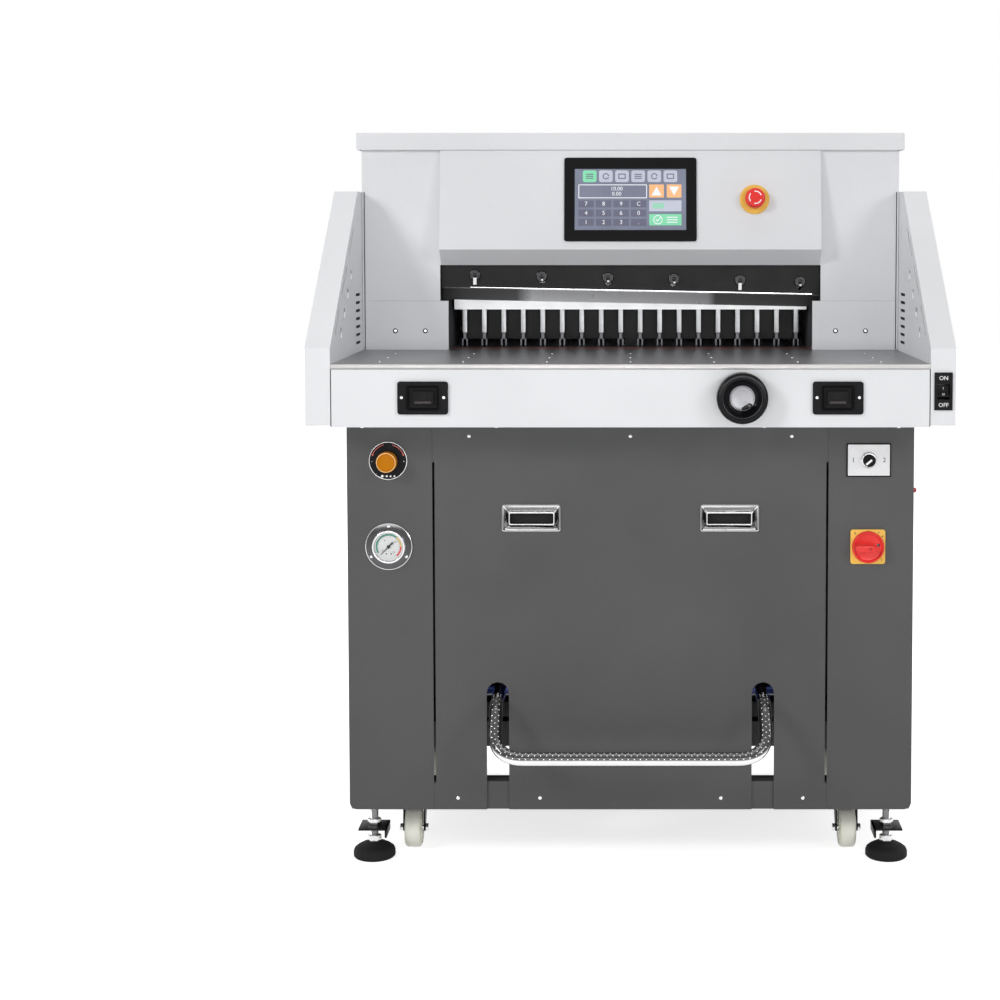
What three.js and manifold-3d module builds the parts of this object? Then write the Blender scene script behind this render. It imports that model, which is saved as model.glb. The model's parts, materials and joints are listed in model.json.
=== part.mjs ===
// Hydraulic paper cutter on a cabinet stand, in millimetres, +Z up.
// The operator stands on the -Y side. Inside the machine group, y = 0 is the front plane of the
// table skirt, y grows towards the back, x = 0 is the middle and z = 0 is the floor.
import * as THREE from 'three';
import { mergeVertices } from 'three/addons/utils/BufferGeometryUtils.js';
import Module from 'manifold-3d';

const wasm = await Module();
wasm.setup();

// Clearances
const fitGap = 0.3;
const slideGap = 0.5;
const overrun = 10;
const bite = 1;

// Sheet metal
const sheet = 2;

// Cabinet
const cabinetWidth = 1062;
const cabinetFront = 95;
const cabinetDepth = 640;
const cabinetBottom = 105;
const cabinetTop = 841;
const columnWidth = 160;
const cabinetCorner = 12;
const seamWidth = 4;
const seamBottom = 156;
const seamTop = 766;
const ventRows = 6;
const ventPitch = 18;
const ventPlace = 220;
const ventBottom = 560;
const ventLength = 90;
const ventRadius = 3;

// Stand frame inside the cabinet
const postSize = 40;
const postInset = 4;
const bottomRail = 53;
const topRail = 40;
const headSeat = 780;
const crossRailInset = 209;
const cornerPlate = 8;
const cornerPlateWidth = 142;
const cornerPlateLength = 152;
const bracketThickness = 8;
const bracketPlace = 300;

// Table
const tableWidth = 1090;
const tableTop = 956;
const tableThickness = 8;
const tableDepth = 1234;
const rearTableWidth = 840;
const tableRibPlace = 150;
const tableRibHeight = 48;
const tableHoleRadius = 4;
const tableHolePitch = 154.5;
const tableHoleColumns = 7;
const tableHoleRows = [62, 178, 296];

// Table skirt
const skirtBottom = 841;
const skirtWall = 2.5;
const skirtFlange = 98;

// Side wings
const wingThickness = 46;
const wingBottom = 844;
const wingShoulder = 985;
const wingTop = 1277;
const wingSlopeDepth = 356;
const wingDepth = 500;
const curtainWindows = 4;
const curtainRadius = 13;
const curtainStart = 115;
const curtainPitch = 56;
const curtainInset = 67;
const edgeSlots = 3;
const edgeSlotStart = 60;
const edgeSlotPitch = 115;
const edgeSlotLength = 80;
const edgeSlotRadius = 3.5;
const edgeSlotInset = 22;
const louvreCount = 7;
const louvreLength = 60;
const louvreWidth = 6;
const louvrePitch = 16;
const louvrePlace = 325;
const louvreBottom = 975;

// Head: cheeks, housing, lid
const headDepth = 320;
const throatHalf = 371;
const throatFrontHalf = 387;
const cheekTop = 1056;
const cheekReturn = 10;
const housingMouthTop = 1129;
const housingBackBottom = 1140;
const rearMouth = 422;
const lidBottom = 1362;
const lidWidth = 1110;
const lidHeight = 34;
const lidOverhang = 10;
const lidWall = 3;
const lidCorner = 4;

// Control hood on the housing
const hoodWidth = 770;
const hoodReach = 38;
const hoodTopDepth = 6;
const hoodLip = 1161;

// Portal frame that carries knife and clamp
const portalSetback = 80;
const portalDepth = 178;
const bridgeSetback = 45;
const bridgeBottom = 1140;
const portalTop = 1340;
const uprightInset = 25;
const pocketWall = 40;
const underPocketHeight = 70;
const bridgePocketDepth = 90;

// Knife drive
const knifePinPlace = 440;
const knifePinHeight = 1115;
const knifePinRadius = 11;
const knifeRollerRadius = 15;
const knifeTiltDegrees = 1.15;
const knifeDrop = 102;
const knifeShift = 30;
const blockLength = 44;
const blockWidth = 30;
const rollerGap = 1.5;

// Knife beam and knife, in the beam's own frame with the left pin at its origin
const beamSetback = 15;
const beamThickness = 40;
const beamLeft = 27;
const beamRight = 937;
const beamBottom = 30;
const beamTop = 140;
const beamShoulder = 24;
const knifeThickness = 10;
const knifeHeight = 95;
const knifeLength = 804;
const knifeStart = 53;
const knifeBevelHeight = 24;
const knifeEdgeDepth = 56.8;
const beamWall = 2;
const beamRabbet = 3;
const beamRabbetHeight = 26;
const boltPlaces = [-317, -181, -46, 89, 224, 346];
const boltDepth = 4;
const boltSlotLength = 12;
const boltSlotRadius = 6.5;

// Knife pull rod and its cylinder
const lugPlace = 907;
const lugDepth = 36;
const lugRadius = 16;
const lugHoleRadius = 11;
const lugPinRadius = 9;
const rodEyeRadius = 18;
const rodEyeThickness = 16;
const pullRodRadius = 12;
const pullRodLength = 165;
const barrelRadius = 25;
const barrelStart = 133;
const barrelLength = 180;
const barrelFloor = 15;

// Clamp and its cylinder
const clampSideGap = 6;
const clampSetback = 53;
const clampThickness = 50;
const clampBottom = 1036;
const clampHeight = 110;
const clampRodRadius = 11;
const clampRodTop = 1320;
const clampBarrelRadius = 25;
const clampBarrelBottom = 1190;
const clampBarrelTop = 1335;
const clampChamfer = 4;

// Cutting stick
const stickLength = 780;
const stickWidth = 12;
const stickHeight = 6;

// Back gauge with its comb of fingers, and the screw that moves it
const fingerCount = 18;
const fingerPitch = 41;
const fingerWidth = 11;
const fingerNeckWidth = 7;
const fingerFootWidth = 13;
const fingerForkWidth = 5;
const fingerGap = 6;
const fingerDepth = 22;
const fingerTop = 1090;
const fingerStep = 984;
const fingerFoot = 973;
const gaugeBeamDepth = 40;
const nutSetback = 27;
const gaugeBeamBottom = 971;
const gaugeTravel = 560;
const nutHalf = 27;
const nutLength = 40;
const nutBottom = 893;
const nutTop = 940;
const screwHeight = 915;
const screwRadius = 12;
const journalRadius = 8;
const journalLength = 36;
const bearingLength = 28;
const bearingInset = 16;
const tongueHalf = 12;
const slotSlack = 4;
const channelHalf = 36;
const motorHalf = 30;
const motorLength = 82;

// Rear guard
const guardTop = 1125;

// Touch panel and emergency stop
const panelWidth = 267;
const panelHeight = 171;
const screenWidth = 225;
const screenHeight = 125;
const panelProud = 3;
const panelDepth = 16;
const panelWindow = 8;
const panelCorner = 5;
const screenRecess = 1;
const stopPlace = 250.5;
const stopBaseRadius = 30;
const stopBaseThickness = 5;
const stopHeadRadius = 20;
const stopHeadHeight = 15;
const stopNeck = 7;
const headRoundingShare = 0.3;
const stopStemRadius = 8;
const stopBarrelRadius = 11;
const stopBarrelLength = 22;

// Two-hand buttons
const cutPlatePlace = 377;
const cutPlateHeight = 895;
const cutPlateWidth = 92;
const cutPlateTall = 60;
const cutPlateThickness = 4;
const cutPlateCorner = 5;
const cutRecessWidth = 61;
const cutRecessTall = 47;
const cutCupDepth = 20;
const cutCupWall = 2;
const cutCupFloor = 5;
const cutButtonWidth = 39;
const cutButtonTall = 25;
const cutButtonDepth = 8;
const cutButtonInset = 3;
const cutStemRadius = 6;
const cutButtonCorner = 3;

// Handwheel
const wheelPlace = 202;
const wheelHeight = 896.5;
const wheelReach = 34;
const wheelRadius = 46.5;
const wheelRimWidth = 9;
const wheelRoundingShare = 0.4;
const wheelGripFront = 5;
const wheelDishRadius = 24;
const wheelDishDepth = 14;
const wheelBackGap = 3;
const wheelShaftRadius = 10;
const wheelShaftLength = 30;
const wheelGripPlace = 17.5;
const wheelGripLength = 19;
const wheelGripRadius = 4.5;
const wheelGripTurn = -1.13;

// Rocker switch on the right wing
const rockerHeight = 907;
const rockerPlateWidth = 33;
const rockerPlateTall = 69;
const rockerPlateThickness = 3;
const rockerBezelWidth = 26;
const rockerBezelTall = 31;
const rockerCupDepth = 22;
const rockerCupWall = 1.5;
const rockerWidth = 22;
const rockerHalf = 11;
const rockerBack = 8;
const rockerBackHalf = 5;
const rockerNose = 2.5;
const rockerFlat = 2;
const rockerPivotDepth = 3;
const rockerTiltDegrees = 10;

// Pressure dial and gauge on the left column
const dialPlace = 453;
const dialHeight = 769;
const dialRadius = 36;
const dialThickness = 6;
const dialBarrelRadius = 14;
const dialBarrelLength = 30;
const dialKnobRadius = 19;
const dialKnobReach = 37;
const dialKnobWaist = 15;
const dialStemRadius = 5;
const gaugePlace = 453;
const gaugeDrop = 162;
const gaugeFlangeRadius = 44;
const gaugeFlangeThickness = 3;
const gaugeBezelRadius = 31;
const gaugeBezelReach = 10;
const gaugeDialRadius = 27;
const gaugeDialDepth = 6;
const gaugeCanRadius = 29;
const gaugeCanLength = 32;
const needleHubRadius = 3.5;
const needlePinRadius = 1.2;
const needleRestDegrees = -135;
const needleLength = 20;
const needleTail = 7;
const needleWidth = 1.6;
const needleThickness = 1.2;

// Selector and main switch on the right column
const selectorPlace = 446;
const selectorHeight = 770;
const selectorPlateWidth = 83;
const selectorPlateTall = 63;
const selectorPlateThickness = 3;
const selectorBezelRadius = 15;
const selectorBezelHeight = 5;
const selectorKnobRadius = 12;
const selectorKnobHeight = 6;
const selectorGripHeight = 9;
const selectorGripWidth = 6;
const selectorStemRadius = 5;
const selectorWall = 5;
const selectorBarrelLength = 28;
const switchPlace = 445;
const switchDrop = 163;
const switchPlateSide = 65;
const switchPlateThickness = 6;
const switchPlateCorner = 5;
const switchKnobRadius = 30;
const switchKnobHeight = 9;
const switchGripHeight = 16;
const switchGripWidth = 15;
const switchGripLength = 58;
const switchStemRadius = 6;

// Side button on the right column
const sideButtonPlace = 225;
const sideButtonHeight = 695;
const sideButtonRadius = 13;
const sideButtonHead = 12;
const sideButtonNeck = 7;
const sideButtonStemRadius = 5;
const sideButtonStemLength = 24;

// Flush handles in the front panel
const handlePlace = 186;
const handleHeight = 661;
const handleWidth = 110;
const handleTall = 50;
const handleLip = 2.5;
const handleCorner = 4;
const handleRim = 4;
const handleDishDepth = 12;
const handleMouthWidth = 83;
const handleMouthTall = 21;
const handleMouthDrop = 3.4;
const handleCupWall = 1.5;
const handleCupDepth = 26;

// Pedal
const pedalPlace = 250;
const pedalTubeRadius = 12.5;
const pedalPivotDepth = 90;
const pedalPivotHeight = 316;
const pedalBarReach = 114;
const pedalBarHeight = 235;
const pedalKneeReach = 38;
const pedalCornerRadius = 55;
const pedalKneeRadius = 22;
const pedalSteps = 48;
const pedalShaftRadius = 14;
const pedalShaftLength = 640;
const pedalSlotWidth = 42;
const pedalSlotTop = 349;
const bracketTop = 345;
const bracketDepth = 115;
const bracketShoulder = 132;
const bracketNose = 18;
const bracketNoseHeight = 28;
const bracketHeelGap = 8;

// Power pack
const tankWidth = 480;
const tankDepth = 180;
const tankHeight = 240;
const tankCorner = 12;
const motorRadius = 70;
const motorBodyLength = 250;
const motorFinCount = 4;
const motorFinHeight = 6;
const motorFinWidth = 8;
const pumpSize = 90;
const pumpLength = 100;
const fillerRadius = 22;
const fillerHeight = 30;

// Levelling feet
const footPlace = 491;
const frontFootInset = 46;
const rearFootInset = 50;
const footPadRadius = 40;
const footPadHeight = 20;
const footBevel = 3;
const footConeRadius = 15;
const footConeHeight = 30;
const studRadius = 8;
const nutRadius = 13.5;
const nutHeight = 12;
const footPlateBottom = 58;
const footPlateThickness = 4;
const footPlateHalf = 27;
const footPlateLength = 56;
const footPlateFold = 14;

// Casters
const casterPlace = 420;
const frontCasterInset = 117;
const rearCasterInset = 121;
const casterTrail = 22;
const casterWheelRadius = 37.5;
const casterWheelWidth = 32;
const casterFloorGap = 3;
const casterShoulder = 6;
const casterHubInset = 3;
const casterHubShare = 0.4;
const forkWall = 3;
const forkGap = 2.5;
const forkPlateThickness = 6;
const forkHeadRadius = 24;
const forkNeckRadius = 14;
const forkNeckHeight = 8;
const forkAxleRadius = 4;
const forkNutRadius = 7;
const forkNutHeight = 6;
const kingPinRadius = 6;
const kingPinHeight = 7;

// Facets of a full turn
const fineFacets = 28;
const midFacets = 16;
const smallFacets = 8;
const cornerSteps = 1;
const arcSteps = 3;
const hexagon = 6;

// Places worked out from the sizes above
const half = (size) => size / 2;
const cabinetHalf = half(cabinetWidth);
const cabinetBack = cabinetFront + cabinetDepth;
const frontFootDepth = cabinetFront + frontFootInset;
const rearFootDepth = cabinetBack - rearFootInset;
const frontCasterDepth = cabinetFront + frontCasterInset;
const rearCasterDepth = cabinetBack - rearCasterInset;
const gaugeHeight = dialHeight - gaugeDrop;
const switchHeight = selectorHeight - switchDrop;
const tableHalf = half(tableWidth);
const bodyDepth = cabinetBack;
const cheekPlane = bodyDepth - headDepth;
const portalFront = cheekPlane + portalSetback;
const bridgeFront = portalFront + bridgeSetback;
const beamFront = cheekPlane + beamSetback;
const clampFront = beamFront + clampSetback;
const clampHalf = throatHalf - clampSideGap;
const fingerFront = clampFront + clampThickness + fingerGap;
const nutStart = fingerFront + nutSetback;
const tableBottom = tableTop - tableThickness;
const rearHalf = half(rearTableWidth);
const portalBack = portalFront + portalDepth;
const uprightOuter = tableHalf - uprightInset;
const wingInner = tableHalf + fitGap;
const wingOuter = wingInner + wingThickness;
const tilt = THREE.MathUtils.degToRad(knifeTiltDegrees);
const beamBack = beamFront + beamThickness;
const knifeFront = beamBack + fitGap;
const knifeBack = knifeFront + knifeThickness;
const screwFront = bridgeFront;
const screwBack = tableDepth - bearingInset - bearingLength;
const pivotY = cabinetFront + pedalPivotDepth;
const barY = cabinetFront - pedalBarReach;
const wheelAxleHeight = casterFloorGap + casterWheelRadius;
const lidTop = lidBottom + lidHeight;
const housingTop = lidTop - lidWall - fitGap;
const hoodBack = cheekPlane - fitGap;
const hoodTop = lidBottom - fitGap;
const stickFront = knifeBack - half(stickWidth);
const leftRight = [-1, 1];

// Basic shapes

function solid(geometry) {
  geometry.deleteAttribute('normal');
  geometry.deleteAttribute('uv');
  const merged = mergeVertices(geometry);
  const triangles = [];
  const index = merged.index;
  for (let i = 0; i < index.count; i += 3) {
    const corners = [index.getX(i), index.getX(i + 1), index.getX(i + 2)];
    if (new Set(corners).size === corners.length) triangles.push(...corners);
  }
  return new wasm.Manifold(new wasm.Mesh({
    numProp: 3,
    vertProperties: new Float32Array(merged.attributes.position.array),
    triVerts: new Uint32Array(triangles),
  }));
}

const join = (first, ...others) => others.reduce((sum, next) => sum.add(next), first);
const cut = (body, ...tools) => tools.reduce((rest, tool) => rest.subtract(tool), body);
const middle = ([a, b]) => (a + b) / 2;
const both = (size) => [-size, size];
const around = (centre, size) => [centre - half(size), centre + half(size)];

function box(xs, ys, zs) {
  const lengths = [xs, ys, zs].map(([a, b]) => Math.abs(b - a));
  return solid(new THREE.BoxGeometry(...lengths).translate(middle(xs), middle(ys), middle(zs)));
}

// A block that narrows evenly from its front rectangle to its back one, each given as [xs, zs]
function tapered(front, back, ys) {
  const geometry = new THREE.BoxGeometry(1, 1, 1);
  const corners = geometry.attributes.position;
  for (let i = 0; i < corners.count; i += 1) {
    const end = Number(corners.getY(i) > 0);
    const [xs, zs] = [front, back][end];
    corners.setXYZ(i, xs[Number(corners.getX(i) > 0)], ys[end], zs[Number(corners.getZ(i) > 0)]);
  }
  return solid(geometry);
}

// A round bar along one axis; place gives its other two coordinates in x, y, z order
function bar(axis, radius, ends, place, facets = midFacets) {
  const geometry = new THREE.CylinderGeometry(radius, radius, Math.abs(ends[1] - ends[0]), facets);
  const centre = [...place];
  centre.splice('xyz'.indexOf(axis), 0, middle(ends));
  if (axis === 'x') geometry.rotateZ(Math.PI / 2);
  if (axis === 'z') geometry.rotateX(Math.PI / 2);
  return solid(geometry.translate(...centre));
}

function barBetween(start, end, radius, facets = midFacets) {
  const line = end.clone().sub(start);
  const geometry = new THREE.CylinderGeometry(radius, radius, line.length(), facets);
  const turn = new THREE.Quaternion();
  turn.setFromUnitVectors(new THREE.Vector3(0, 1, 0), line.clone().normalize());
  const centre = start.clone().add(end).multiplyScalar(1 / 2);
  return solid(geometry.applyQuaternion(turn).translate(centre.x, centre.y, centre.z));
}

// A turned body: the outline is [radius, height] pairs that run up the outside
function turned(axis, outline, facets = midFacets) {
  const geometry = new THREE.LatheGeometry(outline.map(([r, h]) => new THREE.Vector2(r, h)), facets);
  if (axis === 'x') geometry.rotateZ(-Math.PI / 2);
  if (axis === 'z') geometry.rotateX(Math.PI / 2);
  return solid(geometry);
}

const polygon = (points) => new THREE.Shape(points.map(([u, v]) => new THREE.Vector2(u, v)));

function roundedRectangle([left, right], [low, high], radius) {
  const shape = new THREE.Shape();
  const quarter = Math.PI / 2;
  shape.absarc(right - radius, low + radius, radius, -quarter, 0, false);
  shape.absarc(right - radius, high - radius, radius, 0, quarter, false);
  shape.absarc(left + radius, high - radius, radius, quarter, 2 * quarter, false);
  shape.absarc(left + radius, low + radius, radius, 2 * quarter, 3 * quarter, false);
  return shape;
}

// A slot with round ends between two points
function slot(start, end, radius) {
  const angle = Math.atan2(end[1] - start[1], end[0] - start[0]);
  const quarter = Math.PI / 2;
  const shape = new THREE.Shape();
  shape.absarc(end[0], end[1], radius, angle - quarter, angle + quarter, false);
  shape.absarc(start[0], start[1], radius, angle + quarter, angle + 3 * quarter, false);
  return shape;
}

// An outline extruded along x (drawn in y, z), along y (drawn in x, z) or along z (drawn in x, y)
const bases = {
  x: [[0, 1, 0], [0, 0, 1], [1, 0, 0]],
  y: [[1, 0, 0], [0, 0, 1], [0, -1, 0]],
  z: [[1, 0, 0], [0, 1, 0], [0, 0, 1]],
};

function extruded(axis, shape, ends, curveSegments = cornerSteps) {
  const depth = Math.abs(ends[1] - ends[0]);
  const geometry = new THREE.ExtrudeGeometry(shape, { depth, bevelEnabled: false, curveSegments });
  const basis = bases[axis].map((vector) => new THREE.Vector3(...vector));
  geometry.applyMatrix4(new THREE.Matrix4().makeBasis(...basis));
  const start = axis === 'y' ? Math.max(...ends) : Math.min(...ends);
  return solid(geometry.translate(...bases.z['xyz'.indexOf(axis)].map((share) => share * start)));
}

// A convex outline, drawn anticlockwise, moved inwards by a wall
function inset(points, wall) {
  const lines = points.map((point, i) => {
    const next = points[(i + 1) % points.length];
    const along = new THREE.Vector2(next[0] - point[0], next[1] - point[1]).normalize();
    return { along, base: new THREE.Vector2(point[0] - along.y * wall, point[1] + along.x * wall) };
  });
  return lines.map((line, i) => {
    const before = lines[(i + lines.length - 1) % lines.length];
    const offset = line.base.clone().sub(before.base);
    const step = offset.cross(line.along) / before.along.cross(line.along);
    const corner = before.base.clone().addScaledVector(before.along, step);
    return [corner.x, corner.y];
  });
}

// A named piece of the machine
function piece(name, body, [colour, roughness, metalness], place = [0, 0, 0]) {
  const { vertProperties, triVerts } = body.getMesh();
  const geometry = new THREE.BufferGeometry();
  geometry.setAttribute('position', new THREE.Float32BufferAttribute(vertProperties, 3));
  geometry.setIndex(new THREE.Uint32BufferAttribute(triVerts, 1));
  geometry.computeVertexNormals();
  const material = new THREE.MeshStandardMaterial({ color: colour, roughness, metalness });
  const mesh = new THREE.Mesh(geometry, material);
  mesh.name = name;
  mesh.position.set(...place);
  return mesh;
}

function group(pieces, place = [0, 0, 0]) {
  const result = new THREE.Group();
  result.add(...pieces);
  result.position.set(...place);
  return result;
}

// Finishes: colour, roughness, metalness
const whitePaint = ['#dcdcde', 0.5, 0];
const greyPaint = ['#5b5b5c', 0.6, 0];
const castPaint = ['#3a3c40', 0.6, 0.2];
const groundSteel = ['#9a9a9c', 0.35, 0.9];
const darkSteel = ['#26282b', 0.5, 0.6];
const brightSteel = ['#c9cacc', 0.25, 1];
const chrome = ['#d8d9db', 0.12, 1];
const blackPlastic = ['#18181a', 0.45, 0];
const redPlastic = ['#d9302c', 0.4, 0];
const yellowPlastic = ['#f2c21b', 0.45, 0];
const amberPlastic = ['#b9711b', 0.35, 0];
const silverPlastic = ['#d2d3d5', 0.35, 0.4];
const rubber = ['#222224', 0.85, 0];
const nylon = ['#e9e7cf', 0.5, 0];
const tankPaint = ['#2f4a8a', 0.5, 0.1];

// Knife geometry: the beam's frame is turned by the tilt about the left pin
const leftPin = new THREE.Vector3(-knifePinPlace, 0, knifePinHeight);
const pinSpan = 2 * knifePinPlace;
const rodY = beamBack + slideGap + pullRodRadius;

function beamPoint(x, z) {
  return leftPin.clone().add(new THREE.Vector3(
    x * Math.cos(tilt) + z * Math.sin(tilt), rodY, z * Math.cos(tilt) - x * Math.sin(tilt)));
}

const eyeAtRest = beamPoint(lugPlace, -lugDepth);
const eyeAtEnd = leftPin.clone().add(new THREE.Vector3(lugPlace - knifeShift, rodY, -lugDepth - knifeDrop));
const pullLine = eyeAtEnd.clone().sub(eyeAtRest).normalize();
const pullPoint = (distance) => eyeAtRest.clone().addScaledVector(pullLine, distance);

// Stand frame: welded square tube, foot plates, pedal brackets and table brackets
const postOuter = cabinetHalf - postInset;
const postInner = postOuter - postSize;
const frontPost = [cabinetFront + postInset, cabinetFront + postInset + postSize];
const rearPost = [cabinetBack - postInset - postSize, cabinetBack - postInset];
const footHole = [cabinetBottom - overrun, cabinetBottom + cornerPlate];

function standFrame() {
  const bottomRails = [cabinetBottom, cabinetBottom + bottomRail];
  const topRails = [cabinetTop - topRail, cabinetTop];
  const seatRails = [headSeat - fitGap - topRail, headSeat - fitGap];
  const crossRail = [cabinetBack - crossRailInset, cabinetBack - crossRailInset + postSize];
  const bodies = [];
  const holes = [];
  for (const side of leftRight) {
    const postX = [side * postInner, side * postOuter];
    const plateX = [side * (postOuter - cornerPlateWidth), side * postOuter];
    const plateZ = [cabinetBottom, cabinetBottom + cornerPlate];
    bodies.push(box(postX, frontPost, [cabinetBottom, cabinetTop]));
    bodies.push(box(postX, rearPost, [cabinetBottom, cabinetTop]));
    bodies.push(box(postX, [frontPost[0], rearPost[1]], bottomRails));
    bodies.push(box(postX, [frontPost[0], rearPost[1]], seatRails));
    bodies.push(box(plateX, [frontPost[0], frontPost[0] + cornerPlateLength], plateZ));
    bodies.push(box(plateX, [rearPost[1] - cornerPlateLength, rearPost[1]], plateZ));
    const bracketX = around(side * bracketPlace, bracketThickness);
    bodies.push(extruded('x', pedalBracketOutline(), bracketX));
    bodies.push(extruded('x', tableBracketOutline(), bracketX));
    for (const depth of [frontFootDepth, rearFootDepth]) {
      holes.push(bar('z', studRadius + fitGap, footHole, [side * footPlace, depth]));
    }
    for (const depth of [frontCasterDepth, rearCasterDepth]) {
      holes.push(bar('z', kingPinRadius + fitGap, footHole, [side * casterPlace, depth]));
    }
  }
  for (const ends of [frontPost, rearPost, crossRail]) bodies.push(box(both(postOuter), ends, bottomRails));
  for (const ends of [frontPost, rearPost]) bodies.push(box(both(postOuter), ends, topRails));
  const shaftBore = half(pedalShaftLength) + overrun;
  holes.push(bar('x', pedalShaftRadius + fitGap, both(shaftBore), [pivotY, pedalPivotHeight]));
  return piece('stand_frame', cut(join(...bodies), ...holes), greyPaint);
}

function pedalBracketOutline() {
  const heel = cabinetBottom + bottomRail;
  return polygon([
    [frontPost[0], cabinetBottom], [frontPost[1], cabinetBottom], [frontPost[1], heel],
    [frontPost[0] + bracketDepth, heel + bracketShoulder], [frontPost[0] + bracketDepth, bracketTop],
    [pivotY - pedalShaftRadius - overrun, bracketTop], [frontPost[0], heel + half(bracketShoulder)],
  ]);
}

function tableBracketOutline() {
  const top = tableBottom - fitGap;
  return polygon([
    [frontPost[1], cabinetTop - topRail], [frontPost[1], top], [bracketNose, top],
    [bracketNose, top - bracketNoseHeight], [frontPost[0], cabinetTop + bracketHeelGap],
    [frontPost[0], cabinetTop - topRail],
  ]);
}

// Cabinet covers
function columnCover(name, side, holes) {
  const edge = cabinetHalf - columnWidth + fitGap;
  const high = [cabinetBottom, cabinetTop];
  const plan = polygon([
    [side * edge, cabinetFront], [side * cabinetHalf, cabinetFront], [side * cabinetHalf, cabinetBack],
    [side * (cabinetHalf - sheet), cabinetBack], [side * (cabinetHalf - sheet), cabinetFront + sheet],
    [side * edge, cabinetFront + sheet],
  ]);
  const tall = [cabinetBottom, cabinetTop + cabinetCorner];
  const face = roundedRectangle(both(cabinetHalf), tall, cabinetCorner);
  const rounded = extruded('y', face, [cabinetFront - overrun, cabinetBack + overrun]);
  const cover = extruded('z', plan, high).intersect(rounded);
  return piece(name, cut(cover, ...holes), greyPaint);
}

const coverDepth = [cabinetFront - overrun, cabinetFront + overrun];

function leftColumnCover() {
  return columnCover('left_column_cover', -1, [
    bar('y', dialBarrelRadius + fitGap, coverDepth, [-dialPlace, dialHeight]),
    bar('y', gaugeCanRadius + fitGap, coverDepth, [-gaugePlace, gaugeHeight], fineFacets),
  ]);
}

function rightColumnCover() {
  const wall = [cabinetHalf - overrun, cabinetHalf + overrun];
  return columnCover('right_column_cover', 1, [
    bar('y', selectorStemRadius + fitGap + selectorWall, coverDepth, [selectorPlace, selectorHeight]),
    bar('y', switchStemRadius + fitGap + selectorWall, coverDepth, [switchPlace, switchHeight]),
    bar('x', sideButtonStemRadius + fitGap, wall, [sideButtonPlace, sideButtonHeight]),
  ]);
}

function frontPanel() {
  const edge = cabinetHalf - columnWidth;
  const archCentre = pedalSlotTop - half(pedalSlotWidth);
  const cuts = [];
  for (const side of leftRight) {
    const seam = [side * (edge - seamWidth), side * (edge + overrun)];
    cuts.push(box(seam, coverDepth, [seamBottom, seamTop]));
    const arch = slot([side * pedalPlace, cabinetBottom - pedalSlotTop], [side * pedalPlace, archCentre],
      half(pedalSlotWidth));
    cuts.push(extruded('y', arch, coverDepth, arcSteps));
    const [windowX, windowZ] = [handleWidth, handleTall].map((size) =>
      half(size) - handleRim + handleCupWall + fitGap);
    cuts.push(box([side * handlePlace - windowX, side * handlePlace + windowX], coverDepth,
      [handleHeight - windowZ, handleHeight + windowZ]));
  }
  const panel = box(both(edge), [cabinetFront, cabinetFront + sheet], [cabinetBottom, cabinetTop]);
  return piece('front_panel', cut(panel, ...cuts), greyPaint);
}

function rearPanel() {
  const width = cabinetHalf - sheet - fitGap;
  const vents = [];
  for (let row = 0; row < ventRows; row += 1) {
    for (const side of leftRight) {
      const centre = side * ventPlace;
      const height = ventBottom + row * ventPitch;
      const [left, right] = around(centre, ventLength);
      const outline = slot([left, height], [right, height], ventRadius);
      vents.push(extruded('y', outline, [cabinetBack - overrun, cabinetBack + overrun]));
    }
  }
  const panel = box(both(width), [cabinetBack - sheet, cabinetBack], [cabinetBottom, cabinetTop]);
  return piece('rear_panel', cut(panel, ...vents), greyPaint);
}

// Table, with its grid of holes, the stick groove, the gauge slot and the ribs under the rear part
function table() {
  const outline = polygon([
    [-tableHalf, 0], [tableHalf, 0], [tableHalf, bodyDepth], [rearHalf, bodyDepth], [rearHalf, tableDepth],
    [-rearHalf, tableDepth], [-rearHalf, bodyDepth], [-tableHalf, bodyDepth],
  ]);
  for (let column = 0; column < tableHoleColumns; column += 1) {
    const x = (column - half(tableHoleColumns - 1)) * tableHolePitch;
    for (const y of tableHoleRows) {
      outline.holes.push(new THREE.Path().absarc(x, y, tableHoleRadius, 0, 2 * Math.PI, true));
    }
  }
  const plate = extruded('z', outline, [tableBottom, tableTop]);
  const ribs = leftRight.map((side) => box(around(side * tableRibPlace, bracketThickness),
    [portalBack + fitGap, tableDepth - bearingInset], [tableBottom - tableRibHeight, tableBottom + bite]));
  const bearing = box(both(nutHalf), [screwBack, screwBack + bearingLength], [nutBottom, tableBottom + bite]);
  const through = [tableBottom - overrun, tableTop + overrun];
  const uprights = leftRight.map((side) => box([side * (throatHalf - fitGap), side * (uprightOuter + fitGap)],
    [portalFront - fitGap, portalBack + fitGap], through));
  const gaugeSlot = box(both(tongueHalf + fitGap),
    [nutStart - slotSlack, nutStart + nutLength + gaugeTravel + slotSlack], through);
  const groove = box(both(half(stickLength) + fitGap),
    [stickFront - fitGap, stickFront + stickWidth + fitGap],
    [tableTop - stickHeight - fitGap, tableTop + overrun]);
  const rodHole = barBetween(pullPoint(0), pullPoint(barrelStart), pullRodRadius + slideGap);
  const screwBore = bar('y', journalRadius + fitGap, [screwBack - overrun, tableDepth], [0, screwHeight]);
  const body = cut(join(plate, ...ribs, bearing), ...uprights, gaugeSlot, groove, rodHole, screwBore);
  return piece('table', body, groundSteel);
}

function cuttingStick() {
  const body = box(both(half(stickLength)), [stickFront, stickFront + stickWidth],
    [tableTop - stickHeight, tableTop]);
  return piece('cutting_stick', body, redPlastic);
}

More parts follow.
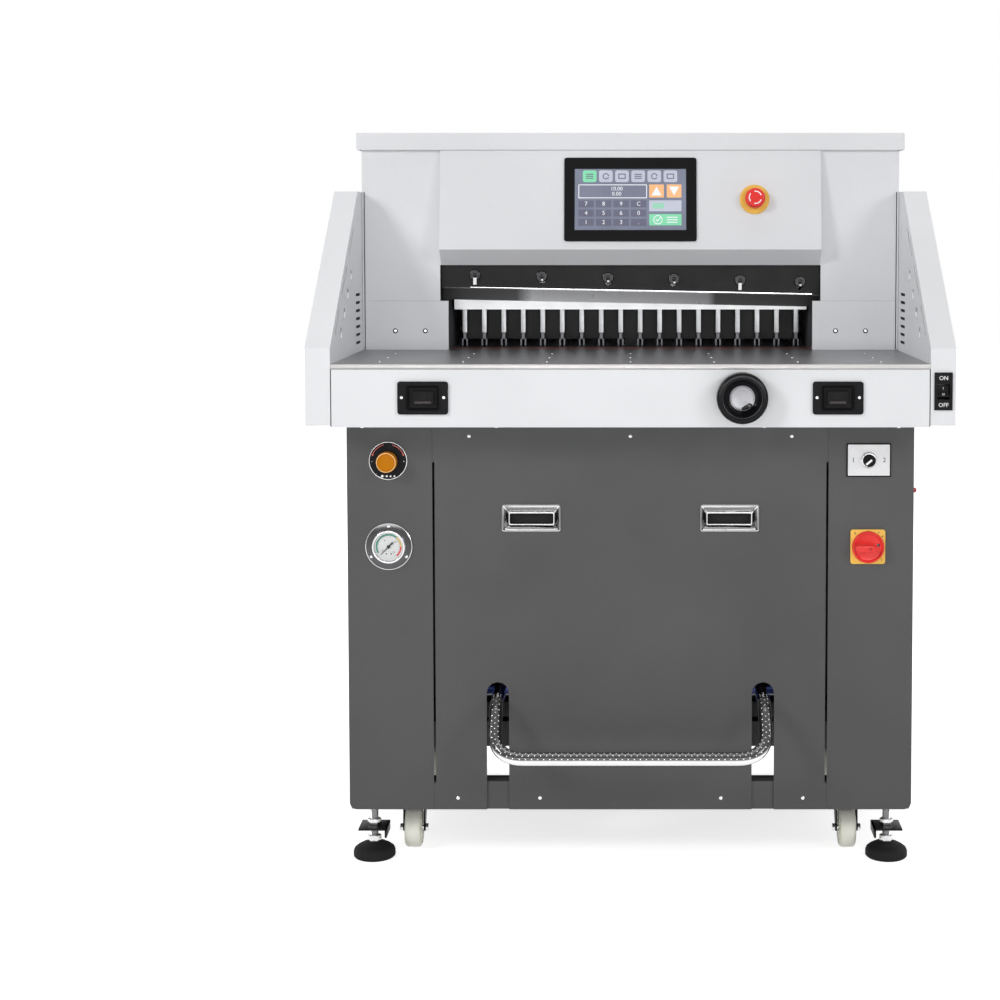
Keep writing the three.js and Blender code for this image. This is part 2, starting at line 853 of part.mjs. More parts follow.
// Skirt: a sheet ring under the table edge with a flange that rests on the cabinet
function tableSkirt() {
  const high = [skirtBottom + fitGap, tableBottom - fitGap];
  const ring = cut(box(both(tableHalf), [0, bodyDepth], high),
    box(both(tableHalf - skirtWall), [skirtWall, bodyDepth - skirtWall], [skirtBottom - overrun, tableTop]));
  const flange = box(both(tableHalf), [0, skirtFlange], [high[0], high[0] + skirtWall]);
  const wall = [-overrun, overrun];
  const [windowX, windowZ] = [cutRecessWidth, cutRecessTall].map((size) => size + 2 * (cutCupWall + fitGap));
  const windows = leftRight.map((side) => box(around(side * cutPlatePlace, windowX), wall,
    around(cutPlateHeight, windowZ)));
  const shaftHole = bar('y', wheelShaftRadius + fitGap, wall, [wheelPlace, wheelHeight]);
  const notch = box(both(tableRibPlace + bracketThickness), [bodyDepth - overrun, bodyDepth + overrun],
    [nutBottom - overrun, tableTop]);
  return piece('table_skirt', cut(join(ring, flange), ...windows, shaftHole, notch), whitePaint);
}

// Side wings: closed sheet boxes, open at the back, slotted on the inner wall
function wing(name, side, extraCuts) {
  const outline = (back) => [[0, wingBottom], [back, wingBottom], [back, wingTop],
    [wingSlopeDepth, wingTop], [0, wingShoulder]];
  const shell = extruded('x', polygon(outline(wingDepth)), [side * wingInner, side * wingOuter]);
  const room = extruded('x', polygon(inset(outline(wingDepth + overrun), sheet)),
    [side * (wingInner + sheet), side * (wingOuter - sheet)]);
  const inner = [side * (wingInner - overrun), side * (wingInner + overrun)];
  const slope = new THREE.Vector2(wingSlopeDepth, wingTop - wingShoulder).normalize();
  const onSlope = (distance, depth) => [
    distance * slope.x + depth * slope.y, wingShoulder + distance * slope.y - depth * slope.x];
  const cuts = [];
  for (let i = 0; i < curtainWindows; i += 1) {
    const centre = onSlope(curtainStart + i * curtainPitch, curtainInset);
    cuts.push(bar('x', curtainRadius, inner, centre, smallFacets));
  }
  for (let i = 0; i < edgeSlots; i += 1) {
    const start = edgeSlotStart + i * edgeSlotPitch;
    const shape = slot(onSlope(start, edgeSlotInset), onSlope(start + edgeSlotLength, edgeSlotInset),
      edgeSlotRadius);
    cuts.push(extruded('x', shape, inner));
  }
  for (let i = 0; i < louvreCount; i += 1) {
    const height = louvreBottom + i * louvrePitch;
    const shape = slot([louvrePlace, height], [louvrePlace + louvreLength, height], half(louvreWidth));
    cuts.push(extruded('x', shape, inner));
  }
  return piece(name, cut(shell, room, ...cuts, ...extraCuts), whitePaint);
}

const rockerPlace = wingInner + half(wingThickness);

function rightWing() {
  const windowX = half(rockerBezelWidth) + fitGap;
  const windowZ = half(rockerBezelTall) + fitGap;
  return wing('right_wing', 1, [box([rockerPlace - windowX, rockerPlace + windowX], [-overrun, overrun],
    [rockerHeight - windowZ, rockerHeight + windowZ])]);
}

// Lower cheek covers beside the throat
function cheekCover(name, side) {
  const wall = skirtWall;
  const plan = polygon([
    [side * throatHalf, cheekPlane], [side * tableHalf, cheekPlane], [side * tableHalf, bodyDepth],
    [side * rearMouth, bodyDepth], [side * rearMouth, bodyDepth - wall],
    [side * (tableHalf - wall), bodyDepth - wall], [side * (tableHalf - wall), cheekPlane + wall],
    [side * (throatHalf + wall), cheekPlane + wall], [side * (throatHalf + wall), cheekPlane + cheekReturn],
    [side * throatHalf, cheekPlane + cheekReturn],
  ]);
  return piece(name, extruded('z', plan, [tableTop + fitGap, cheekTop]), whitePaint);
}

// Upper housing: four sheets round the head, with the knife mouth in front and the gauge mouth behind
function upperHousing() {
  const bottom = cheekTop + fitGap;
  const ring = cut(box(both(tableHalf), [cheekPlane, bodyDepth], [bottom, housingTop]),
    box(both(tableHalf - skirtWall), [cheekPlane + skirtWall, bodyDepth - skirtWall],
      [bottom - overrun, housingTop + overrun]));
  const frontWall = [cheekPlane - overrun, cheekPlane + overrun];
  const knifeMouth = box(both(throatFrontHalf), frontWall, [bottom - overrun, housingMouthTop]);
  const rearOpening = box(both(rearMouth), [bodyDepth - overrun, bodyDepth + overrun],
    [bottom - overrun, housingBackBottom]);
  const panelOpening = box(both(half(panelWidth) - panelWindow + fitGap), frontWall,
    [hoodLip + hoodTopDepth, hoodTop - hoodTopDepth]);
  const stopOpening = bar('y', stopBarrelRadius + fitGap + hoodTopDepth, frontWall,
    [stopPlace, half(hoodLip + hoodTop)]);
  return piece('upper_housing', cut(ring, knifeMouth, rearOpening, panelOpening, stopOpening), whitePaint);
}

function topCover() {
  const plan = roundedRectangle(both(half(lidWidth)),
    [cheekPlane - lidOverhang, bodyDepth + lidOverhang], lidCorner);
  const lid = extruded('z', plan, [lidBottom, lidTop]);
  const room = box(both(half(lidWidth) - lidWall),
    [cheekPlane - lidOverhang + lidWall, bodyDepth + lidOverhang - lidWall],
    [lidBottom - overrun, lidTop - lidWall]);
  return piece('top_cover', cut(lid, room), whitePaint);
}

// Control hood, built in the frame of its tilted face: y = 0 is the face, z runs up it
const lipFront = cheekPlane - hoodReach;
const topFront = cheekPlane - hoodTopDepth;
const faceTilt = Math.atan2(topFront - lipFront, hoodTop - hoodLip);
const faceMiddle = [half(lipFront + topFront), half(hoodLip + hoodTop)];

function onFace([y, z]) {
  const [dy, dz] = [y - faceMiddle[0], z - faceMiddle[1]];
  const [cosine, sine] = [Math.cos(faceTilt), Math.sin(faceTilt)];
  return [dy * cosine - dz * sine, dz * cosine + dy * sine];
}

function controlHood() {
  const outline = (back) => [[back, housingMouthTop], [back, hoodTop], [topFront, hoodTop],
    [lipFront, hoodLip]].map(onFace);
  const width = half(hoodWidth);
  const shell = extruded('x', polygon(outline(hoodBack)), both(width));
  const room = extruded('x', polygon(inset(outline(hoodBack + overrun), sheet)), both(width - sheet));
  const windowX = half(panelWidth) - panelWindow + fitGap;
  const windowZ = half(panelHeight) - panelWindow + fitGap;
  const panelWindowCut = box(both(windowX), [-overrun, panelDepth], both(windowZ));
  const stopHole = bar('y', stopBarrelRadius + fitGap, [-overrun, overrun], [stopPlace, 0]);
  return piece('control_hood', cut(shell, room, panelWindowCut, stopHole), whitePaint);
}

function touchPanel() {
  const bodyWidth = half(panelWidth) - panelWindow;
  const bodyHeight = half(panelHeight) - panelWindow;
  const front = -fitGap - panelProud;
  const bezel = extruded('y', roundedRectangle(both(half(panelWidth)), both(half(panelHeight)), panelCorner),
    [front, -fitGap]);
  const body = box(both(bodyWidth), [-fitGap - bite, panelDepth], both(bodyHeight));
  const screen = box(both(half(screenWidth)), [front - overrun, front + screenRecess],
    both(half(screenHeight)));
  return piece('touch_panel', cut(join(bezel, body), screen), blackPlastic);
}

function stopBase() {
  const bore = stopStemRadius + fitGap;
  const front = -fitGap - stopBaseThickness;
  const outline = [[bore, front], [stopBaseRadius, front], [stopBaseRadius, -fitGap],
    [stopBarrelRadius, -fitGap], [stopBarrelRadius, stopBarrelLength], [bore, stopBarrelLength],
    [bore, front]];
  return piece('estop_base', turned('y', outline, fineFacets), yellowPlastic, [stopPlace, 0, 0]);
}

function stopButton() {
  const headBack = -fitGap - stopBaseThickness - stopNeck;
  const headFront = headBack - stopHeadHeight;
  const rounding = stopHeadHeight * headRoundingShare;
  const outline = [[0, headFront], [stopHeadRadius - rounding, headFront],
    [stopHeadRadius, headFront + rounding], [stopHeadRadius, headBack], [stopStemRadius, headBack],
    [stopStemRadius, stopBarrelLength], [0, stopBarrelLength]];
  return piece('estop_button', turned('y', outline, fineFacets), redPlastic, [stopPlace, 0, 0]);
}

// Head frame: a cast portal with guide pins, the knife cylinder's barrel and the gauge motor bolted on
function headFrame() {
  const deep = [portalFront, portalBack];
  const tall = [headSeat, portalTop];
  const portal = box(both(uprightOuter), deep, tall);
  const throat = box(both(throatHalf), [portalFront - overrun, portalBack + overrun],
    [tableBottom - fitGap, bridgeBottom]);
  const bridgeStep = box(both(throatHalf), [portalFront - overrun, bridgeFront],
    [tableBottom - fitGap, portalTop + overrun]);
  const channel = box(both(channelHalf), [screwFront, portalBack + overrun],
    [nutBottom - overrun, tableTop]);
  const pocketX = throatHalf - pocketWall;
  const underside = box(both(pocketX), [portalFront + pocketWall, portalBack - pocketWall],
    [headSeat - overrun, headSeat + underPocketHeight]);
  const bridgePocket = box(both(pocketX), [portalBack - bridgePocketDepth, portalBack + overrun],
    [bridgeBottom + pocketWall, portalTop - pocketWall]);
  const pinEnds = [beamFront + bite, portalFront + bite];
  const leftGuidePin = bar('y', knifePinRadius, pinEnds, [-knifePinPlace, knifePinHeight]);
  const rightGuidePin = bar('y', knifeRollerRadius, pinEnds, [knifePinPlace, knifePinHeight]);
  const barrel = barBetween(pullPoint(barrelStart), pullPoint(barrelStart + barrelLength), barrelRadius);
  const barrelBore = barBetween(pullPoint(barrelStart - overrun),
    pullPoint(barrelStart + barrelLength - barrelFloor), pullRodRadius + fitGap);
  const motor = box(both(motorHalf), [portalFront - motorLength, portalFront + bite],
    [screwHeight - motorHalf, screwHeight + motorHalf]);
  const journalBore = bar('y', journalRadius + fitGap,
    [screwFront - journalLength - fitGap, screwFront + overrun], [0, screwHeight]);
  const body = cut(join(cut(portal, throat, bridgeStep, channel, underside, bridgePocket),
    leftGuidePin, rightGuidePin, barrel, motor), barrelBore, journalBore);
  return piece('head_frame', body, castPaint);
}

// Knife drive, in the beam's tilted frame
const travel = new THREE.Vector2(knifeShift, knifeDrop);
const travelLine = travel.clone().normalize();
const blockReach = half(blockLength - blockWidth);
const alongTravel = (distance) => travelLine.clone().multiplyScalar(distance).toArray();

function slideBlock() {
  const outline = slot(alongTravel(-blockReach), alongTravel(blockReach), half(blockWidth));
  const block = extruded('y', outline, [beamFront + beamWall, beamBack - beamWall], arcSteps);
  const bore = bar('y', knifePinRadius + fitGap, [beamFront - overrun, beamBack + overrun], [0, 0]);
  return piece('knife_slide_block', cut(block, bore), brightSteel);
}

function knifeBeam() {
  const outline = polygon([
    [-beamLeft, -beamBottom], [beamRight, -beamBottom], [beamRight, beamTop - beamShoulder],
    [beamRight - beamShoulder, beamTop], [beamShoulder - beamLeft, beamTop],
    [-beamLeft, beamTop - beamShoulder],
  ]);
  const deep = [beamFront, beamBack];
  const through = [beamFront - overrun, beamBack + overrun];
  const lug = extruded('y', slot([lugPlace, -lugDepth], [lugPlace, -beamBottom], lugRadius), deep, arcSteps);
  const blockSlot = slot(alongTravel(-blockReach), alongTravel(travel.length() + blockReach),
    half(blockWidth) + slideGap);
  const rollerStart = [pinSpan * Math.cos(tilt), pinSpan * Math.sin(tilt)];
  const rollerEnd = [pinSpan + knifeShift, knifeDrop];
  const rollerSlot = slot(rollerStart, rollerEnd, knifeRollerRadius + rollerGap);
  const rabbet = box([-beamLeft - overrun, beamRight + overrun],
    [beamFront - overrun, beamFront + beamRabbet],
    [-lugDepth - lugRadius - overrun, beamRabbetHeight - beamBottom]);
  const boltSlots = boltPlaces.map((place) => {
    const x = place + knifePinPlace;
    return extruded('y', slot([x, -boltDepth - boltSlotLength], [x, -boltDepth], boltSlotRadius), through);
  });
  const body = cut(join(extruded('y', outline, deep), lug), extruded('y', blockSlot, through, arcSteps),
    extruded('y', rollerSlot, through, arcSteps), rabbet, ...boltSlots,
    bar('y', lugHoleRadius, through, [lugPlace, -lugDepth]));
  return piece('knife_beam', body, darkSteel);
}

function knife() {
  const section = polygon([
    [knifeBack, knifeHeight - knifeEdgeDepth], [knifeFront, knifeHeight - knifeEdgeDepth],
    [knifeFront, knifeBevelHeight - knifeEdgeDepth], [knifeBack, -knifeEdgeDepth],
  ]);
  return piece('knife', extruded('x', section, [knifeStart, knifeStart + knifeLength]), brightSteel);
}

// Pull rod from the beam's lug down into the cylinder barrel
function knifeRod() {
  const shaft = barBetween(pullPoint(0), pullPoint(pullRodLength), pullRodRadius);
  const eyeEnds = [rodY - half(rodEyeThickness), rodY + half(rodEyeThickness)];
  const place = [eyeAtRest.x, eyeAtRest.z];
  const eye = bar('y', rodEyeRadius, eyeEnds, place);
  const pin = bar('y', lugPinRadius, [beamFront + beamWall, rodY], place);
  return piece('knife_rod', join(shaft, eye, pin), brightSteel);
}

// Clamp
const clampMiddle = clampFront + half(clampThickness);

function clampBeam() {
  const section = polygon([
    [clampFront, clampBottom], [clampFront + clampThickness, clampBottom],
    [clampFront + clampThickness, clampBottom + clampHeight - clampChamfer],
    [clampFront + clampThickness - clampChamfer, clampBottom + clampHeight],
    [clampFront + clampChamfer, clampBottom + clampHeight],
    [clampFront, clampBottom + clampHeight - clampChamfer],
  ]);
  const beam = extruded('x', section, both(clampHalf));
  const rod = bar('z', clampRodRadius, [clampBottom + clampHeight - bite, clampRodTop], [0, clampMiddle]);
  return piece('clamp_beam', join(beam, rod), silverPlastic);
}

function clampCylinder() {
  const barrel = bar('z', clampBarrelRadius, [clampBarrelBottom, clampBarrelTop], [0, clampMiddle]);
  const foot = box(both(clampBarrelRadius), [clampMiddle, bridgeFront - fitGap],
    [clampBarrelBottom + overrun, clampBarrelTop - overrun]);
  const bore = bar('z', clampRodRadius + fitGap, [clampBarrelBottom - overrun, clampRodTop + bite],
    [0, clampMiddle]);
  return piece('clamp_cylinder', cut(join(barrel, foot), bore), castPaint);
}

// Back gauge: a beam behind a comb of fingers, on a tongue that runs in the table slot
function backGauge() {
  const low = tableTop + fitGap;
  const [wide, neck, foot, fork] = [fingerWidth, fingerNeckWidth, fingerFootWidth, fingerForkWidth].map(half);
  const finger = [
    [fork, low], [foot, low], [foot, fingerFoot], [neck, fingerFoot], [neck, fingerStep], [wide, fingerStep],
    [wide, fingerTop],
  ];
  const leftSide = [...finger].reverse().map(([x, z]) => [-x, z]);
  const notch = [[-fork, fingerFoot - fork], [fork, fingerFoot - fork]];
  const bodies = [];
  for (let i = 0; i < fingerCount; i += 1) {
    const x = (i - half(fingerCount - 1)) * fingerPitch;
    const outline = polygon([...finger, ...leftSide, ...notch].map(([u, z]) => [u + x, z]));
    bodies.push(extruded('y', outline, [fingerFront, fingerFront + fingerDepth]));
  }
  const beamY = [fingerFront + fingerDepth - bite, fingerFront + fingerDepth + gaugeBeamDepth];
  const reach = half(fingerCount - 1) * fingerPitch + wide;
  const beam = box(both(reach), beamY, [gaugeBeamBottom, fingerTop]);
  const nutY = [nutStart, nutStart + nutLength];
  const tongue = box(both(tongueHalf), nutY, [nutTop - bite, gaugeBeamBottom + bite]);
  const nut = box(both(nutHalf), nutY, [nutBottom, nutTop]);
  const bore = bar('y', screwRadius + fitGap,
    [nutStart - overrun, nutStart + nutLength + overrun], [0, screwHeight]);
  return piece('back_gauge', cut(join(beam, ...bodies, tongue, nut), bore), darkSteel);
}

function leadScrew() {
  const outline = [
    [0, screwFront - journalLength], [journalRadius, screwFront - journalLength],
    [journalRadius, screwFront + bite], [screwRadius, screwFront + bite], [screwRadius, screwBack - bite],
    [journalRadius, screwBack - bite], [journalRadius, screwBack + bearingLength],
    [0, screwBack + bearingLength],
  ];
  return piece('lead_screw', turned('y', outline, smallFacets), brightSteel, [0, 0, screwHeight]);
}

function rearGuard() {
  const outer = box(both(rearHalf), [bodyDepth + fitGap, tableDepth], [tableTop + fitGap, guardTop]);
  const room = box(both(rearHalf - sheet), [bodyDepth - overrun, tableDepth - sheet],
    [tableTop - overrun, guardTop - sheet]);
  return piece('rear_guard', cut(outer, room), whitePaint);
}

// Two-hand buttons in the skirt
function cutPlate(name, side) {
  const front = -fitGap - cutPlateThickness;
  const [recessX, recessZ] = [half(cutRecessWidth), half(cutRecessTall)];
  const face = roundedRectangle(both(half(cutPlateWidth)), both(half(cutPlateTall)), cutPlateCorner);
  const flange = extruded('y', face, [front, -fitGap]);
  const cup = box(both(recessX + cutCupWall), [-fitGap - bite, cutCupDepth], both(recessZ + cutCupWall));
  const recess = box(both(recessX), [front - overrun, cutCupDepth - cutCupFloor], both(recessZ));
  const guide = bar('y', cutStemRadius + fitGap, [-overrun, cutCupDepth + overrun], [0, 0]);
  return piece(name, cut(join(flange, cup), recess, guide), blackPlastic,
    [side * cutPlatePlace, 0, cutPlateHeight]);
}

function cutButton(name, side) {
  const front = -fitGap - cutPlateThickness + cutButtonInset;
  const outline = roundedRectangle(both(half(cutButtonWidth)), both(half(cutButtonTall)), cutButtonCorner);
  const head = extruded('y', outline, [front, front + cutButtonDepth]);
  const stem = bar('y', cutStemRadius, [front + bite, cutCupDepth + cutCupWall], [0, 0]);
  return piece(name, join(head, stem), blackPlastic, [side * cutPlatePlace, 0, cutPlateHeight]);
}

// Handwheel: a deep rim round a dished disc, with a small folding grip
function handwheel() {
  const rimInner = wheelRadius - wheelRimWidth;
  const rounding = wheelRimWidth * wheelRoundingShare;
  const dish = wheelDishDepth - wheelReach;
  const outline = [
    [0, dish], [wheelDishRadius, dish], [rimInner, rounding - wheelReach], [rimInner + rounding, -wheelReach],
    [wheelRadius - rounding, -wheelReach], [wheelRadius, rounding - wheelReach],
    [wheelRadius, -wheelBackGap - rounding], [wheelRadius - rounding, -wheelBackGap],
    [wheelShaftRadius, -wheelBackGap], [wheelShaftRadius, wheelShaftLength], [0, wheelShaftLength],
  ];
  const gripPoint = (along) => [
    wheelGripPlace * Math.cos(wheelGripTurn) - along * Math.sin(wheelGripTurn),
    wheelGripPlace * Math.sin(wheelGripTurn) + along * Math.cos(wheelGripTurn),
  ];
  const gripEnd = half(wheelGripLength) - wheelGripRadius;
  const grip = extruded('y', slot(gripPoint(-gripEnd), gripPoint(gripEnd), wheelGripRadius),
    [wheelGripFront - wheelReach, dish + bite], arcSteps);
  return piece('handwheel', join(turned('y', outline, fineFacets), grip), blackPlastic,
    [wheelPlace, 0, wheelHeight]);
}

// Rocker switch on the wing's front
const rockerFront = -fitGap - rockerPlateThickness;

function rockerPlate() {
  const flange = extruded('y', roundedRectangle(both(half(rockerPlateWidth)), both(half(rockerPlateTall)),
    rockerPlateThickness), [rockerFront, -fitGap]);
  const cup = box(both(half(rockerBezelWidth)), [-fitGap - bite, rockerCupDepth],
    both(half(rockerBezelTall)));
  const well = box(both(half(rockerWidth) + fitGap), [rockerFront - overrun, rockerCupDepth - rockerCupWall],
    both(half(rockerBezelTall) - rockerCupWall));
  return piece('rocker_plate', cut(join(flange, cup), well), blackPlastic, [rockerPlace, 0, rockerHeight]);
}

function rocker() {
  const nose = -rockerPivotDepth - rockerFlat;
  const outline = polygon([
    [nose, -rockerHalf], [rockerBack, -rockerBackHalf], [rockerBack, rockerBackHalf], [nose, rockerHalf],
    [nose + rockerNose, 0],
  ]);
  const key = extruded('x', outline, both(half(rockerWidth)));
  const mesh = piece('rocker', key, blackPlastic, [rockerPlace, rockerPivotDepth, rockerHeight]);
  mesh.rotation.x = THREE.MathUtils.degToRad(rockerTiltDegrees);
  return mesh;
}

// Pressure dial, pressure gauge
function pressurePlate() {
  const bore = dialStemRadius + fitGap;
  const front = -fitGap - dialThickness;
  const outline = [[bore, front], [dialRadius, front], [dialRadius, -fitGap], [dialBarrelRadius, -fitGap],
    [dialBarrelRadius, dialBarrelLength], [bore, dialBarrelLength], [bore, front]];
  return piece('pressure_dial_plate', turned('y', outline, fineFacets), blackPlastic);
}

function pressureKnob() {
  const back = -fitGap - dialThickness - slideGap;
  const rounding = dialKnobRadius - dialKnobWaist;
  const outline = [[0, -dialKnobReach], [dialKnobWaist, -dialKnobReach],
    [dialKnobRadius, rounding - dialKnobReach], [dialKnobRadius, back - 2 * rounding],
    [dialKnobWaist, back - rounding], [dialKnobWaist, back],
    [dialStemRadius, back], [dialStemRadius, dialBarrelLength], [0, dialBarrelLength]];
  return piece('pressure_knob', turned('y', outline), amberPlastic);
}

function gaugeCase() {
  const flangeFront = -fitGap - gaugeFlangeThickness;
  const bezelFront = -fitGap - gaugeBezelReach;
  const dial = bezelFront + gaugeDialDepth;
  const pinHole = needlePinRadius + fitGap;
  const outline = [[0, -fitGap], [pinHole, -fitGap], [pinHole, dial], [gaugeDialRadius, dial],
    [gaugeDialRadius, bezelFront], [gaugeBezelRadius, bezelFront], [gaugeBezelRadius, flangeFront],
    [gaugeFlangeRadius, flangeFront], [gaugeFlangeRadius, -fitGap], [gaugeCanRadius, -fitGap],
    [gaugeCanRadius, gaugeCanLength], [0, gaugeCanLength]];
  return piece('gauge_case', turned('y', outline, fineFacets), chrome);
}

function gaugeNeedle() {
  const dial = gaugeDialDepth - fitGap - gaugeBezelReach;
  const face = dial - fitGap;
  const hub = bar('y', needleHubRadius, [face - 2 * needleThickness, face], [0, 0], smallFacets);
  const blade = box(both(half(needleWidth)), [face - needleThickness, face], [-needleTail, needleLength]);
  const pin = bar('y', needlePinRadius, [face - bite, -2 * fitGap], [0, 0], smallFacets);
  const mesh = piece('gauge_needle', join(hub, blade, pin), blackPlastic);
  mesh.rotation.y = THREE.MathUtils.degToRad(needleRestDegrees);
  return mesh;
}

// Selector and main switch
function selectorPlate() {
  const front = -fitGap - selectorPlateThickness;
  const bezelFront = front - selectorBezelHeight;
  const plate = box(both(half(selectorPlateWidth)), [front, -fitGap], both(half(selectorPlateTall)));
  const bezel = bar('y', selectorBezelRadius, [bezelFront, front + bite], [0, 0]);
  const barrel = bar('y', selectorStemRadius + selectorWall, [-fitGap - bite, selectorBarrelLength], [0, 0]);
  const bore = bar('y', selectorStemRadius + fitGap,
    [bezelFront - overrun, selectorBarrelLength + overrun], [0, 0]);
  return piece('selector_plate', cut(join(plate, bezel, barrel), bore), silverPlastic);
}

function selectorKnob() {
  const back = -2 * fitGap - selectorPlateThickness - selectorBezelHeight;
  const front = back - selectorKnobHeight;
  const disc = bar('y', selectorKnobRadius, [front, back], [0, 0]);
  const grip = box(both(half(selectorGripWidth)), [front - selectorGripHeight, front + bite],
    both(selectorKnobRadius - bite));
  const stem = bar('y', selectorStemRadius, [back - bite, selectorBarrelLength], [0, 0], smallFacets);
  return piece('selector_knob', join(disc, grip, stem), blackPlastic);
}

function mainSwitchPlate() {
  const front = -fitGap - switchPlateThickness;
  const plate = extruded('y', roundedRectangle(both(half(switchPlateSide)), both(half(switchPlateSide)),
    switchPlateCorner), [front, -fitGap]);
  const barrel = bar('y', switchStemRadius + selectorWall, [-fitGap - bite, selectorBarrelLength], [0, 0]);
  const bore = bar('y', switchStemRadius + fitGap, [front - overrun, selectorBarrelLength + overrun], [0, 0]);
  return piece('main_switch_plate', cut(join(plate, barrel), bore), yellowPlastic);
}

function mainSwitchHandle() {
  const back = -2 * fitGap - switchPlateThickness;
  const front = back - switchKnobHeight;
  const disc = turned('y', [[0, front], [switchKnobRadius - bite, front], [switchKnobRadius, front + bite],
    [switchKnobRadius, back], [0, back]], fineFacets);
  const gripEnd = half(switchGripLength - switchGripWidth);
  const grip = extruded('y', slot([-gripEnd, 0], [gripEnd, 0], half(switchGripWidth)),
    [front - switchGripHeight, front + bite]);
  const stem = bar('y', switchStemRadius, [back - bite, selectorBarrelLength], [0, 0], smallFacets);
  return piece('main_switch_handle', join(disc, grip, stem), redPlastic);
}

function sideButton() {
  const rounding = sideButtonHead * headRoundingShare;
  const tip = sideButtonNeck + sideButtonHead;
  const outline = [[0, -sideButtonStemLength], [sideButtonStemRadius, -sideButtonStemLength],
    [sideButtonStemRadius, sideButtonNeck], [sideButtonRadius, sideButtonNeck],
    [sideButtonRadius, tip - rounding], [sideButtonRadius - rounding, tip], [0, tip]];
  return piece('side_button', turned('x', outline), redPlastic,
    [cabinetHalf, sideButtonPlace, sideButtonHeight]);
}

// Flush pull handles in the front panel: a dished lip that narrows to the finger hole
function flushHandle(name, side) {
  const front = -fitGap - handleLip;
  const dish = [handleWidth, handleTall].map((size) => both(half(size) - handleRim));
  const mouth = [both(half(handleMouthWidth)), both(half(handleMouthTall)).map((z) => z - handleMouthDrop)];
  const grown = (spans) => spans.map(([low, high]) => [low - handleCupWall, high + handleCupWall]);
  const lip = extruded('y', roundedRectangle(both(half(handleWidth)), both(half(handleTall)), handleCorner),
    [front, -fitGap]);
  const shell = tapered(grown(dish), grown(mouth), [front, handleDishDepth]);
  const [cupX, cupZ] = grown(mouth);
  const cup = box(cupX, [handleDishDepth - bite, handleCupDepth], cupZ);
  const hollow = join(tapered(dish, mouth, [front, handleDishDepth]),
    box(mouth[0], [handleDishDepth - bite, handleCupDepth - handleCupWall], mouth[1]));
  return piece(name, cut(join(lip, shell, cup), hollow), chrome,
    [side * handlePlace, cabinetFront, handleHeight]);
}

// Pedal: a bent tube welded to its pivot shaft
function roundedRoute(corners, radii) {
  const route = new THREE.CurvePath();
  let from = corners[0];
  for (let i = 1; i < corners.length - 1; i += 1) {
    const towards = (point) => point.clone().sub(corners[i]).setLength(radii[i - 1]).add(corners[i]);
    const [before, after] = [towards(from), towards(corners[i + 1])];
    route.add(new THREE.LineCurve3(from, before));
    route.add(new THREE.QuadraticBezierCurve3(before, corners[i], after));
    from = after;
  }
  route.add(new THREE.LineCurve3(from, corners[corners.length - 1]));
  return route;
}

function pedal() {
  const knee = cabinetFront - pedalKneeReach;
  const arm = (side) => [
    new THREE.Vector3(side * pedalPlace, pivotY, pedalPivotHeight),
    new THREE.Vector3(side * pedalPlace, knee, pedalPivotHeight),
    new THREE.Vector3(side * pedalPlace, barY, pedalBarHeight),
  ];
  const corners = [...arm(-1), ...arm(1).reverse()];
  const bends = [pedalKneeRadius, pedalCornerRadius, pedalCornerRadius, pedalKneeRadius];
  const route = roundedRoute(corners, bends);
  const section = new THREE.Shape().absarc(0, 0, pedalTubeRadius, 0, 2 * Math.PI, false);
  const tube = new THREE.ExtrudeGeometry(section, { steps: pedalSteps, curveSegments: half(smallFacets),
    extrudePath: route });
  const shaft = bar('x', pedalShaftRadius, both(half(pedalShaftLength)), [pivotY, pedalPivotHeight]);
  return piece('pedal', join(shaft, solid(tube)), chrome);
}

// Hydraulic power pack on the frame's rear rails
function powerPack() {
  const low = cabinetBottom + bottomRail + fitGap;
  const top = low + tankHeight;
  const front = rearPost[1] - overrun - tankDepth;
  const plan = roundedRectangle(both(half(tankWidth)), [front, front + tankDepth], tankCorner);
  const axis = [front + half(tankDepth), top + motorRadius + motorFinHeight];
  const motorX = [-half(tankWidth) + overrun, motorBodyLength - half(tankWidth) + overrun];
  const bodies = [extruded('z', plan, [low, top]), bar('x', motorRadius, motorX, axis)];
  const footX = [motorX[0] + overrun, motorX[1] - overrun];
  bodies.push(box(footX, around(axis[0], motorRadius), [top - bite, axis[1]]));
  for (let i = 0; i < motorFinCount; i += 1) {
    const x = motorX[0] + (i + 1) * motorBodyLength / (motorFinCount + 1);
    bodies.push(bar('x', motorRadius + motorFinHeight, around(x, motorFinWidth), axis));
  }
  bodies.push(box([motorX[1] - bite, motorX[1] + pumpLength], around(axis[0], pumpSize),
    [top - bite, axis[1] + half(pumpSize)]));
  bodies.push(bar('z', fillerRadius, [top - bite, top + fillerHeight],
    [half(tankWidth) - 2 * fillerRadius, front + half(tankDepth)]));
  return piece('power_pack', join(...bodies), tankPaint);
}

